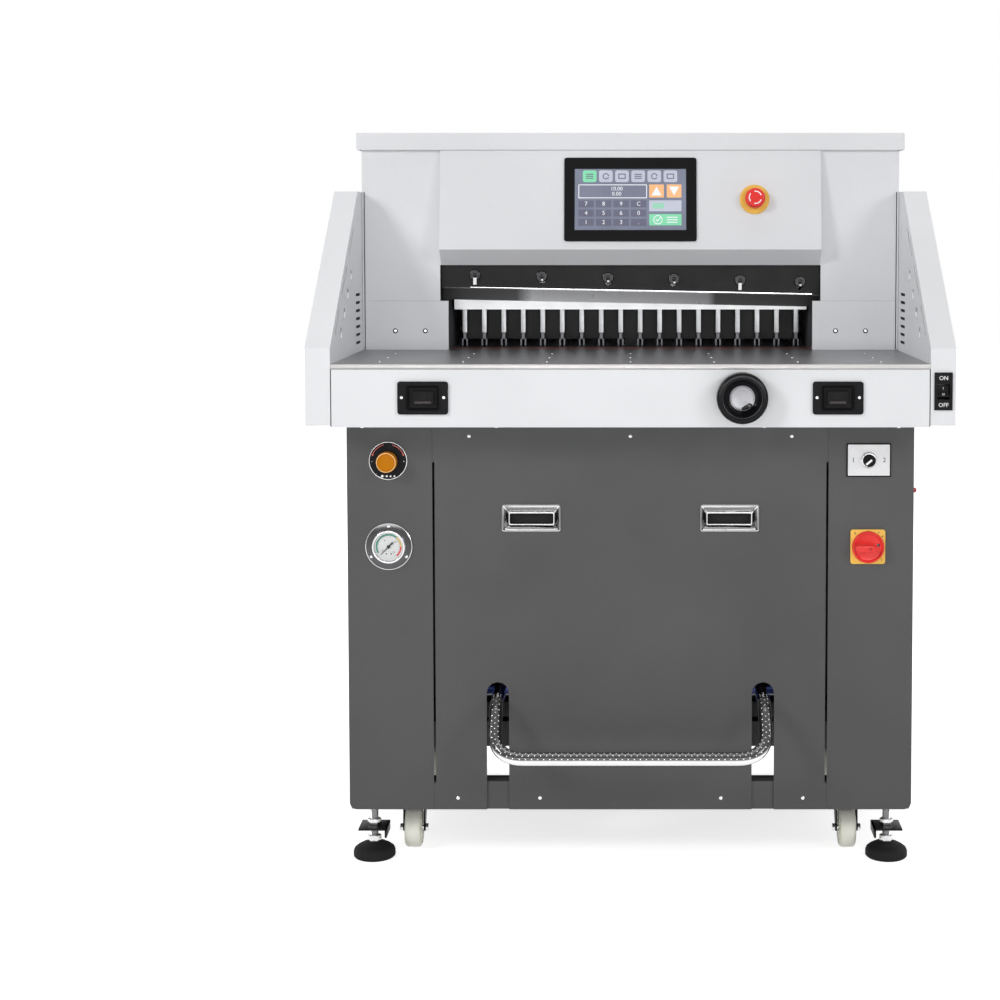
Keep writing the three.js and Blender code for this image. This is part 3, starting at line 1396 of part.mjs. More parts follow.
// Levelling feet
function foot(name, side, depth, facing) {
  const outline = [[0, 0], [footPadRadius - footBevel, 0], [footPadRadius, footBevel],
    [footPadRadius, footPadHeight - footBevel], [footPadRadius - footBevel, footPadHeight],
    [footConeRadius, footConeHeight], [studRadius, footConeHeight],
    [studRadius, cabinetBottom + cornerPlate - bite], [0, cabinetBottom + cornerPlate - bite]];
  const nuts = [footConeHeight, footPlateBottom + footPlateThickness].map((height) => bar('z', nutRadius,
    [height - bite, height + nutHeight], [0, 0], hexagon));
  const plateLength = [facing * (footPlateHalf - footPlateLength), facing * footPlateHalf];
  const plate = box(both(footPlateHalf), plateLength,
    [footPlateBottom, footPlateBottom + footPlateThickness]);
  const fold = box([-side * (footPlateHalf - footPlateThickness), -side * footPlateHalf], plateLength,
    [footPlateBottom - footPlateFold, footPlateBottom + bite]);
  return piece(name, join(turned('z', outline), ...nuts, plate, fold), rubber, [side * footPlace, depth, 0]);
}

// Casters: the fork turns about its king pin, the wheel about its axle
function casterFork(name, side, depth, trail) {
  const innerX = half(casterWheelWidth) + forkGap;
  const outerX = innerX + forkWall;
  const plateTop = cabinetBottom - fitGap - forkNeckHeight;
  const plateBottom = plateTop - forkPlateThickness;
  const arms = leftRight.map((end) => extruded('x', polygon([
    [trail - Math.sign(trail) * -forkNutRadius, wheelAxleHeight], [trail, wheelAxleHeight - forkNutRadius],
    [trail - Math.sign(trail) * forkNutRadius, wheelAxleHeight],
    [-Math.sign(trail) * forkHeadRadius, plateTop],
    [Math.sign(trail) * forkHeadRadius, plateTop],
  ]), [end * innerX, end * outerX]));
  const plate = box(both(outerX), both(forkHeadRadius), [plateBottom, plateTop]);
  const neck = bar('z', forkNeckRadius, [plateTop - bite, cabinetBottom - fitGap], [0, 0]);
  const pin = bar('z', kingPinRadius, [plateTop, cabinetBottom + kingPinHeight], [0, 0], smallFacets);
  const axle = bar('x', forkAxleRadius, both(outerX + forkNutHeight), [trail, wheelAxleHeight], smallFacets);
  const nuts = leftRight.map((end) => bar('x', forkNutRadius,
    [end * (outerX - bite), end * (outerX + forkNutHeight)], [trail, wheelAxleHeight], hexagon));
  return piece(name, join(plate, ...arms, neck, pin, axle, ...nuts), darkSteel,
    [side * casterPlace, depth, 0]);
}

function casterWheel(name, side, depth, trail) {
  const edge = half(casterWheelWidth);
  const bore = forkAxleRadius + fitGap;
  const shoulder = casterWheelRadius - casterShoulder;
  const hub = casterWheelRadius * casterHubShare;
  const outline = [[bore, -edge], [hub, -edge], [hub, casterHubInset - edge],
    [shoulder, casterHubInset - edge], [shoulder, -edge], [casterWheelRadius, casterShoulder - edge]];
  const mirrored = [...outline].reverse().map(([r, h]) => [r, -h]);
  return piece(name, turned('x', [...outline, ...mirrored, outline[0]]), nylon,
    [side * casterPlace, depth + trail, wheelAxleHeight]);
}

// The whole machine
const cabinet = group([
  standFrame(), leftColumnCover(), rightColumnCover(), frontPanel(), rearPanel(), powerPack(),
  flushHandle('left_flush_handle', -1), flushHandle('right_flush_handle', 1), sideButton(), pedal(),
]);
const leftColumnControls = group([
  group([pressurePlate(), pressureKnob()], [-dialPlace, cabinetFront, dialHeight]),
  group([gaugeCase(), gaugeNeedle()], [-gaugePlace, cabinetFront, gaugeHeight]),
]);
const rightColumnControls = group([
  group([selectorPlate(), selectorKnob()], [selectorPlace, cabinetFront, selectorHeight]),
  group([mainSwitchPlate(), mainSwitchHandle()], [switchPlace, cabinetFront, switchHeight]),
]);
const tableGroup = group([
  table(), cuttingStick(), tableSkirt(), handwheel(), rearGuard(), backGauge(), leadScrew(),
  cutPlate('left_button_plate', -1), cutPlate('right_button_plate', 1),
  cutButton('left_cut_button', -1), cutButton('right_cut_button', 1),
  wing('left_wing', -1, []), rightWing(), rockerPlate(), rocker(),
]);
const head = group([
  headFrame(), cheekCover('left_cheek_cover', -1), cheekCover('right_cheek_cover', 1), upperHousing(),
  topCover(), clampBeam(), clampCylinder(), knifeRod(),
]);
const hood = group([controlHood(), touchPanel(), stopBase(), stopButton()], [0, ...faceMiddle]);
hood.rotation.x = -faceTilt;
const knifeDrive = group([slideBlock(), knifeBeam(), knife()], leftPin.toArray());
knifeDrive.rotation.y = tilt;

const undercarriage = new THREE.Group();
for (const [sideName, side] of [['left', -1], ['right', 1]]) {
  const front = [frontFootDepth, frontCasterDepth, -1];
  const rear = [rearFootDepth, rearCasterDepth, 1];
  for (const [endName, [footDepth, casterDepth, facing]] of [['front', front], ['rear', rear]]) {
    const label = `${endName}_${sideName}`;
    const trail = facing * casterTrail;
    undercarriage.add(
      foot(`${label}_foot`, side, footDepth, -facing),
      casterFork(`${label}_caster_fork`, side, casterDepth, trail),
      casterWheel(`${label}_caster_wheel`, side, casterDepth, trail));
  }
}

const machine = group([cabinet, leftColumnControls, rightColumnControls, tableGroup, head, hood, knifeDrive,
  undercarriage], [0, -half(tableDepth - wheelReach), 0]);
machine.updateMatrixWorld(true);

export default machine;
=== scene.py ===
import json
import math

import bmesh
import bpy
from mathutils import Matrix, Vector


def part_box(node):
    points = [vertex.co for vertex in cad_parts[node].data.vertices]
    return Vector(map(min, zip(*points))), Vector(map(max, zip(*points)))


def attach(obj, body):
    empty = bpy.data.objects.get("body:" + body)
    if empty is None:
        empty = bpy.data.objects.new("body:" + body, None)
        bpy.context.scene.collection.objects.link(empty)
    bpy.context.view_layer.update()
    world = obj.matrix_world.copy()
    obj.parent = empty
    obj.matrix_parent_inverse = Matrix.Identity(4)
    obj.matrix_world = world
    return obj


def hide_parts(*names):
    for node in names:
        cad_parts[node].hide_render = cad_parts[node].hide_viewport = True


# Looks of the hydraulic paper cutter. The operator stands on the -Y side. The frame, the camera and the
# lamps are in metres. Details are drawn in millimetres, on planes that bring them into the frame.
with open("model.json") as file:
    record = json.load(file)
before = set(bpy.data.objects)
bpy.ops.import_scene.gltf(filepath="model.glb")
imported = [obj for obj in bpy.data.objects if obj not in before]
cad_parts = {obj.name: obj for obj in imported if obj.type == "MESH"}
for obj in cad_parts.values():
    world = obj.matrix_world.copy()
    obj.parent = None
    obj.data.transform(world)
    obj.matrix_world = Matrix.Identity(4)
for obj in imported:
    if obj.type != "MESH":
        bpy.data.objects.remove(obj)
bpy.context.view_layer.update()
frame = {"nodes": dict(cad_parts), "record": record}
MM = 0.001

X_AXIS = Vector((1, 0, 0))
Y_AXIS = Vector((0, 1, 0))
Z_AXIS = Vector((0, 0, 1))

# Shape quality
ROUND_STEPS = 64
SMALL_STEPS = 32
CORNER_STEPS = 8
BEVEL_STEPS = 3
SHARP_ANGLE = math.radians(32)

SIDES = ("left", "right")

# Clearance between pieces, thickness of print, and where thin strips start above a face
GAP = 0.3
PRINT = 0.12
FILM = 0.05


# Outlines

def polar(radius, degrees):
    turn = math.radians(degrees)
    return radius * math.cos(turn), radius * math.sin(turn)


def arc(centre, radius, start, end, steps=CORNER_STEPS):
    points = [polar(radius, start + (end - start) * i / steps) for i in range(steps + 1)]
    return [(centre[0] + u, centre[1] + v) for u, v in points]


def circle(radius, steps=SMALL_STEPS):
    return [polar(radius, 360 * i / steps) for i in range(steps)]


def rectangle(left, right, low, high):
    return [(left, low), (right, low), (right, high), (left, high)]


def oblong(width, height, radius, steps=CORNER_STEPS):
    """A rectangle with rounded corners round the origin."""
    points = []
    for corner, (across, up) in enumerate(((1, 1), (-1, 1), (-1, -1), (1, -1))):
        centre = (across * (width / 2 - radius), up * (height / 2 - radius))
        points += arc(centre, radius, 90 * corner, 90 * (corner + 1), steps)
    return points


def raised(outline, height):
    return [(u, v + height) for u, v in outline]


# Drawing planes

def plane(origin, right, up):
    """A plane for millimetres: its third axis, out, is right x up."""
    right, up = Vector(right).normalized(), Vector(up).normalized()
    matrix = Matrix((right, up, right.cross(up))).transposed().to_4x4()
    matrix.translation = Vector(origin)
    return Matrix.Scale(MM, 4) @ matrix


def front_plane(x, y, z):
    """Faces the operator."""
    return plane((x, y, z), X_AXIS, Z_AXIS)


def side_plane(origin):
    """Faces the machine's right side."""
    return plane(origin, Y_AXIS, Z_AXIS)


def upright_plane(x, y, z=0):
    """Looks up."""
    return plane((x, y, z), X_AXIS, Y_AXIS)


def moved(place, right=0, up=0, out=0):
    return place @ Matrix.Translation((right, up, out))


def rotated(place, degrees, axis="Z"):
    return place @ Matrix.Rotation(math.radians(degrees), 4, axis)


# Places and sizes of the CAD nodes, in millimetres

def extent(node):
    low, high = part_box(node)
    return low / MM, high / MM


def middle(node):
    low, high = extent(node)
    return (low + high) / 2


def size(node):
    low, high = extent(node)
    return high - low


FACE_Y = extent("front_panel")[0].y
SKIRT_Y = extent("table_skirt")[0].y


def on_face(node, face_y=FACE_Y):
    """The plane over a node's middle, on the face that it is seated on."""
    at = middle(node)
    return front_plane(at.x, face_y, at.z)


# Solids in a bmesh

def skin(bm, loops, closed=False):
    """Joins loops of points one after the other, and caps the ends or joins them to each other."""
    rings = [[bm.verts.new(point) for point in loop] for loop in loops]
    for a, b in zip(rings, rings[1:] + (rings[:1] if closed else [])):
        for i in range(len(a)):
            j = (i + 1) % len(a)
            bm.faces.new((a[i], a[j], b[j], b[i]))
    if not closed:
        bm.faces.new(rings[0][::-1])
        bm.faces.new(rings[-1])


def solid(bm, place, sections, closed=False):
    """A skin through outlines of as many points each: sections are (outline, out) pairs."""
    skin(bm, [[place @ Vector((u, v, out)) for u, v in outline] for outline, out in sections], closed)


def prism(bm, place, outline, low, high):
    solid(bm, place, [(outline, low), (outline, high)])


def window(bm, place, outer, inner, low, high):
    """A plate with an opening: both outlines have as many points."""
    solid(bm, place, [(outer, low), (outer, high), (inner, high), (inner, low)], closed=True)


def block(bm, low, high):
    place = Matrix.Scale(MM, 4)
    prism(bm, place, rectangle(low[0], high[0], low[1], high[1]), low[2], high[2])


def turned(bm, place, outline, steps=ROUND_STEPS):
    """A body turned round the plane's out axis: the outline is (radius, out) pairs. It closes to a
    ring where both of its ends lie off the axis."""
    rings = []
    for radius, out in outline:
        points = circle(radius, steps) if radius else [(0, 0)]
        rings.append([bm.verts.new(place @ Vector((u, v, out))) for u, v in points])
    pairs = list(zip(rings, rings[1:]))
    if outline[0][0] and outline[-1][0]:
        pairs.append((rings[-1], rings[0]))
    for a, b in pairs:
        for i in range(steps):
            j = (i + 1) % steps
            corners = dict.fromkeys((a[i % len(a)], a[j % len(a)], b[j % len(b)], b[i % len(b)]))
            if len(corners) > 2:
                bm.faces.new(list(corners))


def swept(bm, points, radius):
    """A round bar along points."""
    side = (points[1] - points[0]).orthogonal()
    loops = []
    for i, point in enumerate(points):
        along = (points[min(i + 1, len(points) - 1)] - points[max(i - 1, 0)]).normalized()
        side = (side - along * side.dot(along)).normalized()
        place = plane(point, side, along.cross(side))
        loops.append([place @ Vector((u, v, 0)) for u, v in circle(radius)])
    skin(bm, loops)


def arc_band(bm, place, radius, width, start, end, height=PRINT, steps=24):
    outer = arc((0, 0), radius + width / 2, start, end, steps)
    inner = arc((0, 0), radius - width / 2, start, end, steps)
    prism(bm, place, outer + inner[::-1], 0, height)


def soften(bm, width):
    """Rounds every sharp edge of what the bmesh holds."""
    bmesh.ops.recalc_face_normals(bm, faces=bm.faces)
    edges = [e for e in bm.edges if len(e.link_faces) == 2 and e.calc_face_angle(0) > SHARP_ANGLE]
    bmesh.ops.bevel(bm, geom=edges, offset=width * MM, segments=BEVEL_STEPS, profile=0.5, affect="EDGES",
                    clamp_overlap=True)


# Pieces: finishes by name, and the slots of those whose slot has another name

FINISHES = {}
SCREEN_TONES = {
    "screen_blue": ((0.14, 0.155, 0.21), 0.5, 0.25),
    "screen_key": ((0.095, 0.10, 0.145), 0.5, 0.2),
    "screen_pale": ((0.42, 0.44, 0.52), 0.4, 0.2),
    "screen_white": ((0.78, 0.80, 0.84), 0.3, 0.04),
    "screen_orange": ((0.75, 0.40, 0.19), 0.4, 0.08),
    "screen_green": ((0.19, 0.56, 0.34), 0.4, 0.12),
}
SLOTS = {
    "chrome_painted_highlight": "chrome", "tube_chrome_painted_reflection": "chrome", "pink_print": "red_plastic",
    "cherry_plastic": "red_plastic", "white_plastic": "black_plastic", "gloss_black": "black_plastic",
    "dark_lens": "black_plastic", "amber_painted_highlight": "amber_plastic", "label_metal": "silver_metal",
    "spun_metal": "silver_metal", "burnished": "silver_metal", "clear_glass": "screen_plastic",
    "blue_enamel_painted_reflection": "power_pack_paint", "fork_steel": "dark_steel", "edge_steel": "bright_steel",
    **dict.fromkeys(SCREEN_TONES, "screen_plastic"),
}


def piece(name, bm, material, body="machine", replaced=(), rounding=0, slot=None):
    """Turns the bmesh into a named piece that rides on a body."""
    if rounding:
        soften(bm, rounding)
    bmesh.ops.recalc_face_normals(bm, faces=bm.faces)
    mesh = bpy.data.meshes.new(name)
    bm.to_mesh(mesh)
    bm.free()
    mesh.polygons.foreach_set("use_smooth", [True] * len(mesh.polygons))
    mesh.set_sharp_from_angle(angle=SHARP_ANGLE)
    mesh.materials.append(FINISHES[material])
    made = bpy.data.objects.new(name, mesh)
    bpy.context.collection.objects.link(made)
    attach(made, body)
    if replaced:
        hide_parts(*replaced)
    slot = slot or SLOTS.get(material, material)


def turned_piece(name, place, outline, material, *more, steps=ROUND_STEPS, **others):
    bm = bmesh.new()
    turned(bm, place, outline, steps)
    piece(name, bm, material, *more, **others)


def plate_piece(name, place, outline, low, high, material, *more, **others):
    bm = bmesh.new()
    prism(bm, place, outline, low, high)
    piece(name, bm, material, *more, **others)


def lettering(name, text, place, height, material, body="machine", depth=PRINT):
    """Numbers and signs as thin raised print, centred on the plane's origin."""
    curve = bpy.data.curves.new(name, "FONT")
    curve.body = text
    curve.size = height * 1.4
    curve.align_x = "CENTER"
    curve.align_y = "CENTER"
    curve.extrude = depth / 2
    curve.resolution_u = 3
    holder = bpy.data.objects.new(name + "_text", curve)
    bpy.context.collection.objects.link(holder)
    bpy.context.view_layer.update()
    mesh = bpy.data.meshes.new_from_object(holder.evaluated_get(bpy.context.evaluated_depsgraph_get()))
    bpy.data.objects.remove(holder)
    bm = bmesh.new()
    bm.from_mesh(mesh)
    bmesh.ops.transform(bm, matrix=moved(place, out=depth / 2), verts=bm.verts)
    bpy.data.meshes.remove(mesh)
    piece(name, bm, material, body)


def dome_screw(name, place, radius, height, body="machine", material="chrome_painted_highlight"):
    """A pan-head screw with a socket."""
    crown = [(radius * across, height * up) for across, up in arc((0, 0), 1, 0, 60, 4)]
    socket = radius * 0.45
    floor = height * 0.25
    outline = [(radius, -GAP)] + crown + [(socket, height * 0.93), (socket, floor), (0, floor)]
    turned_piece(name, place, outline, material, body, steps=SMALL_STEPS)


# Node trees

class Tree:
    """A node tree being put together."""

    def __init__(self, owner):
        owner.use_nodes = True
        self.nodes = owner.node_tree.nodes
        self.links = owner.node_tree.links

    def fill(self, node, inputs):
        """Sets inputs to plain values and links them to outputs, by name or in order."""
        for key, value in inputs.items() if isinstance(inputs, dict) else enumerate(inputs):
            if isinstance(value, bpy.types.NodeSocket):
                self.links.new(value, node.inputs[key])
            else:
                node.inputs[key].default_value = value

    def add(self, kind, output, inputs=(), **settings):
        node = self.nodes.new(f"ShaderNode{kind}")
        for key, value in settings.items():
            setattr(node, key, value)
        self.fill(node, inputs)
        return node.outputs[output]

    def map_range(self, value, start, end, low, high):
        inputs = {"Value": value, "From Min": start, "From Max": end, "To Min": low, "To Max": high}
        return self.add("MapRange", "Result", inputs)


def grey(tone):
    return tone, tone, tone


def greys(*stops):
    return [(place, grey(tone)) for place, tone in stops]


class Surface(Tree):
    """A material whose colour and gloss vary a little, over a grain of its own."""

    def __init__(self, name, **values):
        FINISHES[name] = bpy.data.materials.new(name)
        super().__init__(FINISHES[name])
        self.shader = self.nodes["Principled BSDF"]
        self.place = self.add("TexCoord", "Object")
        self.fill(self.shader, {key.replace("_", " "): value for key, value in values.items()})

    def noise(self, scale, detail=3.0, stretch=(1, 1, 1), roughness=0.6):
        drawn_out = self.add("Mapping", "Vector", {"Vector": self.place, "Scale": stretch})
        inputs = {"Vector": drawn_out, "Scale": scale, "Detail": detail, "Roughness": roughness}
        return self.add("TexNoise", "Fac", inputs)

    def ramp(self, value, stops):
        """Colours along a value: stops are (position, colour) pairs."""
        colour = self.add("ValToRGB", "Color", {"Fac": value})
        elements = colour.node.color_ramp.elements
        while len(elements) < len(stops):
            elements.new(1.0)
        for element, (position, tone) in zip(elements, stops):
            element.position = position
            element.color = (*tone, 1)
        return colour

    def gloss(self, scale, detail, low, high):
        """Roughness between low and high, by noise."""
        return self.map_range(self.noise(scale, detail), 0.3, 0.7, low, high)

    def shade(self, colour, value, share):
        """The colour, darker and lighter by the share as the value goes."""
        low = [c * (1 - share) for c in colour]
        high = [min(1, c * (1 + share)) for c in colour]
        return self.ramp(value, [(0.3, low), (0.7, high)])

    def mix(self, first, second, way="MULTIPLY", factor=1.0):
        inputs = {"Factor": factor, "A": first, "B": second}
        return self.add("Mix", "Result", inputs, data_type="RGBA", blend_type=way)

    def edges(self, colour, worn):
        """Goes over to the worn colour on outer edges."""
        outer = self.ramp(self.add("NewGeometry", "Pointiness"), greys((0.52, 0), (0.58, 1)))
        return self.mix(colour, (*worn, 1), "MIX", outer)

    def dress(self, colour, roughness, grains=None, strength=0.3, depth=0.0):
        self.fill(self.shader, {"Base Color": colour, "Roughness": roughness})
        if grains:
            relief = self.add("Bump", "Normal", {"Height": grains, "Strength": strength, "Distance": depth})
            self.fill(self.shader, {"Normal": relief})


# Materials

def paint(name, colour, roughness, grain=900, depth=0.00006, spread=0.03, sheen=0.3):
    """Powder coat: a fine orange peel under broad, faint changes of tone and gloss."""
    surface = Surface(name, Specular_IOR_Level=sheen)
    grains = surface.noise(grain, 2)
    tones = surface.shade(colour, surface.noise(3.5, 2), spread)
    specks = surface.shade(grey(0.97), grains, spread)
    gloss = surface.gloss(18, 4, roughness - 0.05, roughness + 0.05)
    surface.dress(surface.mix(tones, specks), gloss, grains, 0.35, depth)


def metal(name, colour, roughness, stretch=(1, 1, 1), grain=300, spread=0.12, depth=0.00004, mirror=1.0):
    """Bare metal with a grain that is drawn out along one axis. A low mirror share makes it matt."""
    surface = Surface(name, Metallic=mirror)
    grains = surface.noise(grain, 6, stretch, 0.7)
    clouds = surface.shade(grey(0.95), surface.noise(7, 4), spread / 4)
    gloss = surface.gloss(25, 5, roughness * 0.9, roughness * 1.12)
    surface.dress(surface.mix(surface.shade(colour, grains, spread), clouds), gloss, grains, 0.3, depth)


def plastic(name, colour, roughness, grain=1600, depth=0.00003, spread=0.05, coat=0.0, sheen=0.15):
    """Moulded plastic: spark-eroded grain and a slight change of gloss."""
    surface = Surface(name, Coat_Weight=coat, Coat_Roughness=0.08, Specular_IOR_Level=sheen)
    grains = surface.noise(grain, 2)
    tone = surface.shade(colour, surface.noise(12, 3), spread)
    worn = [min(1, c * 1.25 + 0.01) for c in colour]
    gloss = surface.gloss(60, 4, roughness - 0.06, roughness + 0.06)
    surface.dress(surface.edges(tone, worn), gloss, grains, 0.25, depth)


def plating(surface, tones, roughness):
    """Painted reflection tones under faint clouds, for mirror-like surfaces."""
    clouds = surface.shade(grey(0.95), surface.noise(90, 3), 0.05)
    surface.dress(surface.mix(tones, clouds), surface.gloss(60, 4, roughness * 0.7, roughness * 1.4))


def polished(name, facing, edge, roughness):
    """Plated metal whose colour is a painted reflection: dark where it faces the viewer, as a mirrored dark
    room in front would be, and bright where it turns away.
    """
    surface = Surface(name, Metallic=1.0)
    weight = surface.add("LayerWeight", "Facing", {"Blend": 0.5})
    stops = [(0.0, facing), (0.22, [c * 1.3 for c in facing]), (0.55, [c * 0.75 for c in edge]), (1.0, edge)]
    plating(surface, surface.ramp(weight, stops), roughness)


def gloss_by_height(name, stops, roughness, metallic, rim=0.0):
    """A painted reflection: the colour stands for the pale floor mirrored below and the dark room mirrored
    above, and runs with the height that the surface faces, from 0 for down to 1 for up; a painted highlight
    makes it lighter where it turns away."""
    surface = Surface(name, Metallic=metallic)
    upward = surface.add("SeparateXYZ", "Z", [surface.add("NewGeometry", "Normal")])
    height = surface.add("Math", 0, (upward, 0.5, 0.5), operation="MULTIPLY_ADD")
    painted_rim_light = surface.ramp(surface.add("LayerWeight", "Facing"), greys((0.6, 0), (0.85, rim)))
    plating(surface, surface.mix(surface.ramp(height, stops), painted_rim_light, "LIGHTEN"), roughness)


def blade(name, tones):
    """Ground knife steel: a long grain under a painted reflection along its length, dark at both ends where
    the dark head is mirrored and bright in the middle.
    """
    surface = Surface(name, Metallic=0.3)
    along = surface.add("SeparateXYZ", "X", [surface.add("TexCoord", "Generated")])
    grains = surface.shade((0.92, 0.93, 0.95), surface.noise(500, 6, (1, 1, 0.05), 0.7), 0.07)
    surface.dress(surface.mix(surface.ramp(along, tones), grains), surface.gloss(25, 5, 0.25, 0.4))


def spun(name, colour, roughness):
    """Turned metal: fine rings round the wheel's own axis show as a banded gloss."""
    surface = Surface(name, Metallic=1.0)
    rings = surface.noise(500, 2, (0.2, 0.2, 1))
    gloss = surface.gloss(40, 4, roughness * 0.8, roughness * 1.3)
    surface.dress(surface.shade(colour, rings, 0.08), gloss, rings, 0.3, 0.00003)


def glass(name, colour):
    """A clear cover: mostly see-through, with gloss and a faint haze."""
    surface = Surface(name, Alpha=0.1, IOR=1.45)
    surface.dress(colour, surface.gloss(80, 3, 0.02, 0.08))


def lit(name, colour, glow, spread):
    """Part of a lit picture: the colour drifts a little over the glass, and shines by itself."""
    surface = Surface(name, Emission_Color=(*colour, 1), Emission_Strength=glow)
    surface.dress(surface.shade(colour, surface.noise(9, 2), spread), surface.gloss(50, 2, 0.12, 0.22))


def make_materials():
    paint("white_paint", (0.80, 0.81, 0.83), 0.42)
    paint("grey_paint", (0.081, 0.081, 0.082), 0.5, grain=700, depth=0.0001, spread=0.08)
    paint("cast_paint", (0.045, 0.047, 0.052), 0.6, grain=220, depth=0.0004, spread=0.15)
    paint("power_pack_paint", (0.03, 0.07, 0.25), 0.4, 260, 0.0002, 0.1)
    paint("dark_steel", (0.009, 0.009, 0.010), 0.38, 400, 0.00008, 0.15, sheen=0.15)
    metal("ground_steel", (0.30, 0.30, 0.31), 0.36, (0.04, 1, 1), 420, 0.14)
    metal("bright_steel", (0.46, 0.47, 0.48), 0.22, (0.06, 1, 1), 380, 0.1)
    metal("fork_steel", (0.13, 0.13, 0.14), 0.4, (1, 1, 0.1), 300, 0.15)
    metal("edge_steel", (0.40, 0.39, 0.38), 0.4, (0.02, 1, 1), 300, 0.12)
    metal("silver_metal", (0.48, 0.49, 0.50), 0.4, (0.1, 1, 1), 350, 0.08)
    metal("label_metal", (0.47, 0.47, 0.48), 0.5, (1, 1, 1), 900, 0.12)
    metal("burnished", (0.035, 0.035, 0.038), 0.3, (1, 1, 1), 200, 0.1, 0.00002)
    metal("clamp_metal", (0.74, 0.75, 0.76), 0.4, (0.1, 1, 1), 350, 0.06, mirror=0.45)
    spun("spun_metal", (0.22, 0.22, 0.23), 0.34)
    # Chrome with a painted reflection, and a lighter copy of it whose extra brightness is a painted
    # highlight.
    polished("chrome", (0.07, 0.07, 0.072), (0.86, 0.86, 0.87), 0.1)
    polished("chrome_painted_highlight", (0.62, 0.62, 0.63), (0.9, 0.9, 0.9), 0.15)
    # The tube's tones are a painted reflection: light where it faces down, dark where it faces forward and
    # up, lighter again straight up, with a painted highlight where it turns away.
    tube = greys((0.0, 0.8), (0.44, 0.8), (0.50, 0.25), (0.58, 0.06), (0.85, 0.10), (0.95, 0.45), (1.0, 0.5))
    gloss_by_height("tube_chrome_painted_reflection", tube, 0.11, 1.0, 0.6)
    # Blue shaft paint under a painted reflection: near black where it faces up and down, and blue with a
    # painted highlight where it faces forward.
    enamel = [(0.0, (0.01, 0.01, 0.03)), (0.48, (0.05, 0.08, 0.35)), (0.6, (0.20, 0.30, 0.85)),
              (0.68, (0.03, 0.05, 0.25)), (0.74, (0.006, 0.006, 0.01)), (1.0, (0.004, 0.004, 0.006))]
    gloss_by_height("blue_enamel_painted_reflection", enamel, 0.25, 0.2)
    # The knife's tones along its length are a painted reflection.
    blade("knife_steel", greys((0.0, 0.09), (0.19, 0.15), (0.23, 0.82), (0.5, 0.70), (0.68, 0.52),
                               (0.70, 0.12), (1.0, 0.07)))
    plastic("black_plastic", (0.008, 0.008, 0.009), 0.42, sheen=0.08)
    plastic("gloss_black", (0.005, 0.005, 0.006), 0.16, 300, 0.000005, coat=0.05, sheen=0.1)
    plastic("white_plastic", (0.80, 0.81, 0.82), 0.4)
    plastic("red_plastic", (0.83, 0.035, 0.03), 0.32, coat=0.1, sheen=0.3)
    plastic("cherry_plastic", (0.42, 0.015, 0.045), 0.3, coat=0.1, sheen=0.3)
    plastic("pink_print", (0.70, 0.17, 0.14), 0.5)
    plastic("yellow_plastic", (0.92, 0.55, 0.11), 0.38)
    plastic("amber_plastic", (0.52, 0.18, 0.004), 0.35, sheen=0.06)
    # A lighter copy of the amber, for the painted highlight on the knob's rim.
    plastic("amber_painted_highlight", (0.80, 0.50, 0.20), 0.3)
    plastic("nylon", (0.98, 0.96, 0.80), 0.38, 700, 0.00005, spread=0.06)
    plastic("rubber", (0.012, 0.012, 0.013), 0.75, 900, 0.0001, spread=0.25)
    plastic("green_print", (0.03, 0.30, 0.20), 0.4)
    plastic("dark_lens", (0.03, 0.022, 0.022), 0.2, coat=0.1)
    glass("clear_glass", (0.3, 0.33, 0.33, 1))
    for name, values in SCREEN_TONES.items():
        lit(name, *values)


# Finishes of the CAD nodes, and how far the edges of those that stay are rounded

OTHER_FINISHES = {"touch_panel": "gloss_black", "knife": "knife_steel", "clamp_beam": "clamp_metal"}
EDGE_ROUNDING = {
    2.2: ("top_cover",),
    2: ("rear_guard", "head_frame", "power_pack"),
    1.5: ("stand_frame",),
    1.2: ("clamp_beam",),
    1: ("table_skirt",),
    0.9: ("upper_housing", "control_hood", "left_wing", "right_wing", "left_column_cover",
          "right_column_cover"),
    0.8: ("knife_beam",),
    0.7: ("left_cheek_cover", "right_cheek_cover"),
    0.6: ("table", "cutting_stick", "back_gauge", "front_panel", "rear_panel"),
    0.2: ("knife",),
}
# Plates with openings, whose faces stay as they are
PIERCED = ("table_skirt", "knife_beam", "front_panel", "left_wing", "right_wing")


def round_edges(name, width):
    node = frame["nodes"][name]
    if name not in PIERCED:
        flat = node.modifiers.new("merge_flat_faces", "DECIMATE")
        flat.decimate_type = "DISSOLVE"
        flat.angle_limit = math.radians(1)
    rounding = node.modifiers.new("round_edges", "BEVEL")
    rounding.width = width * MM
    rounding.segments = 2
    rounding.limit_method = "ANGLE"
    rounding.angle_limit = SHARP_ANGLE


def dress_frame():
    for part in frame["record"]["subparts"]:
        name = part["node"]
        mesh = frame["nodes"][name].data
        mesh.materials.clear()
        mesh.materials.append(FINISHES[OTHER_FINISHES.get(name, part["material_slot"])])
        mesh.polygons.foreach_set("use_smooth", [False] * len(mesh.polygons))
    for width, names in EDGE_ROUNDING.items():
        for name in names:
            round_edges(name, width)


# Pressure dial and knob

DIAL_THICKNESS = 6
DIAL_RIM = 1.6
DIAL_BORE = 5.3
DIAL_BARREL = (14, 30)
DIAL_DOTS = ((-0.3, 2.4), (-0.07, 1.7), (0.13, 1.7), (0.33, 1.7))
KNOB_REACH = 37
KNOB_RIBS = 24


def arrow_head(bm, place, radius, angle, length):
    """A triangle on an arc, which points the way of falling angles where the length is positive."""
    half = abs(length) / 2
    tip = angle - math.degrees(length / radius)
    prism(bm, place, [polar(radius + half, angle), polar(radius - half, angle), polar(radius, tip)], 0, PRINT)


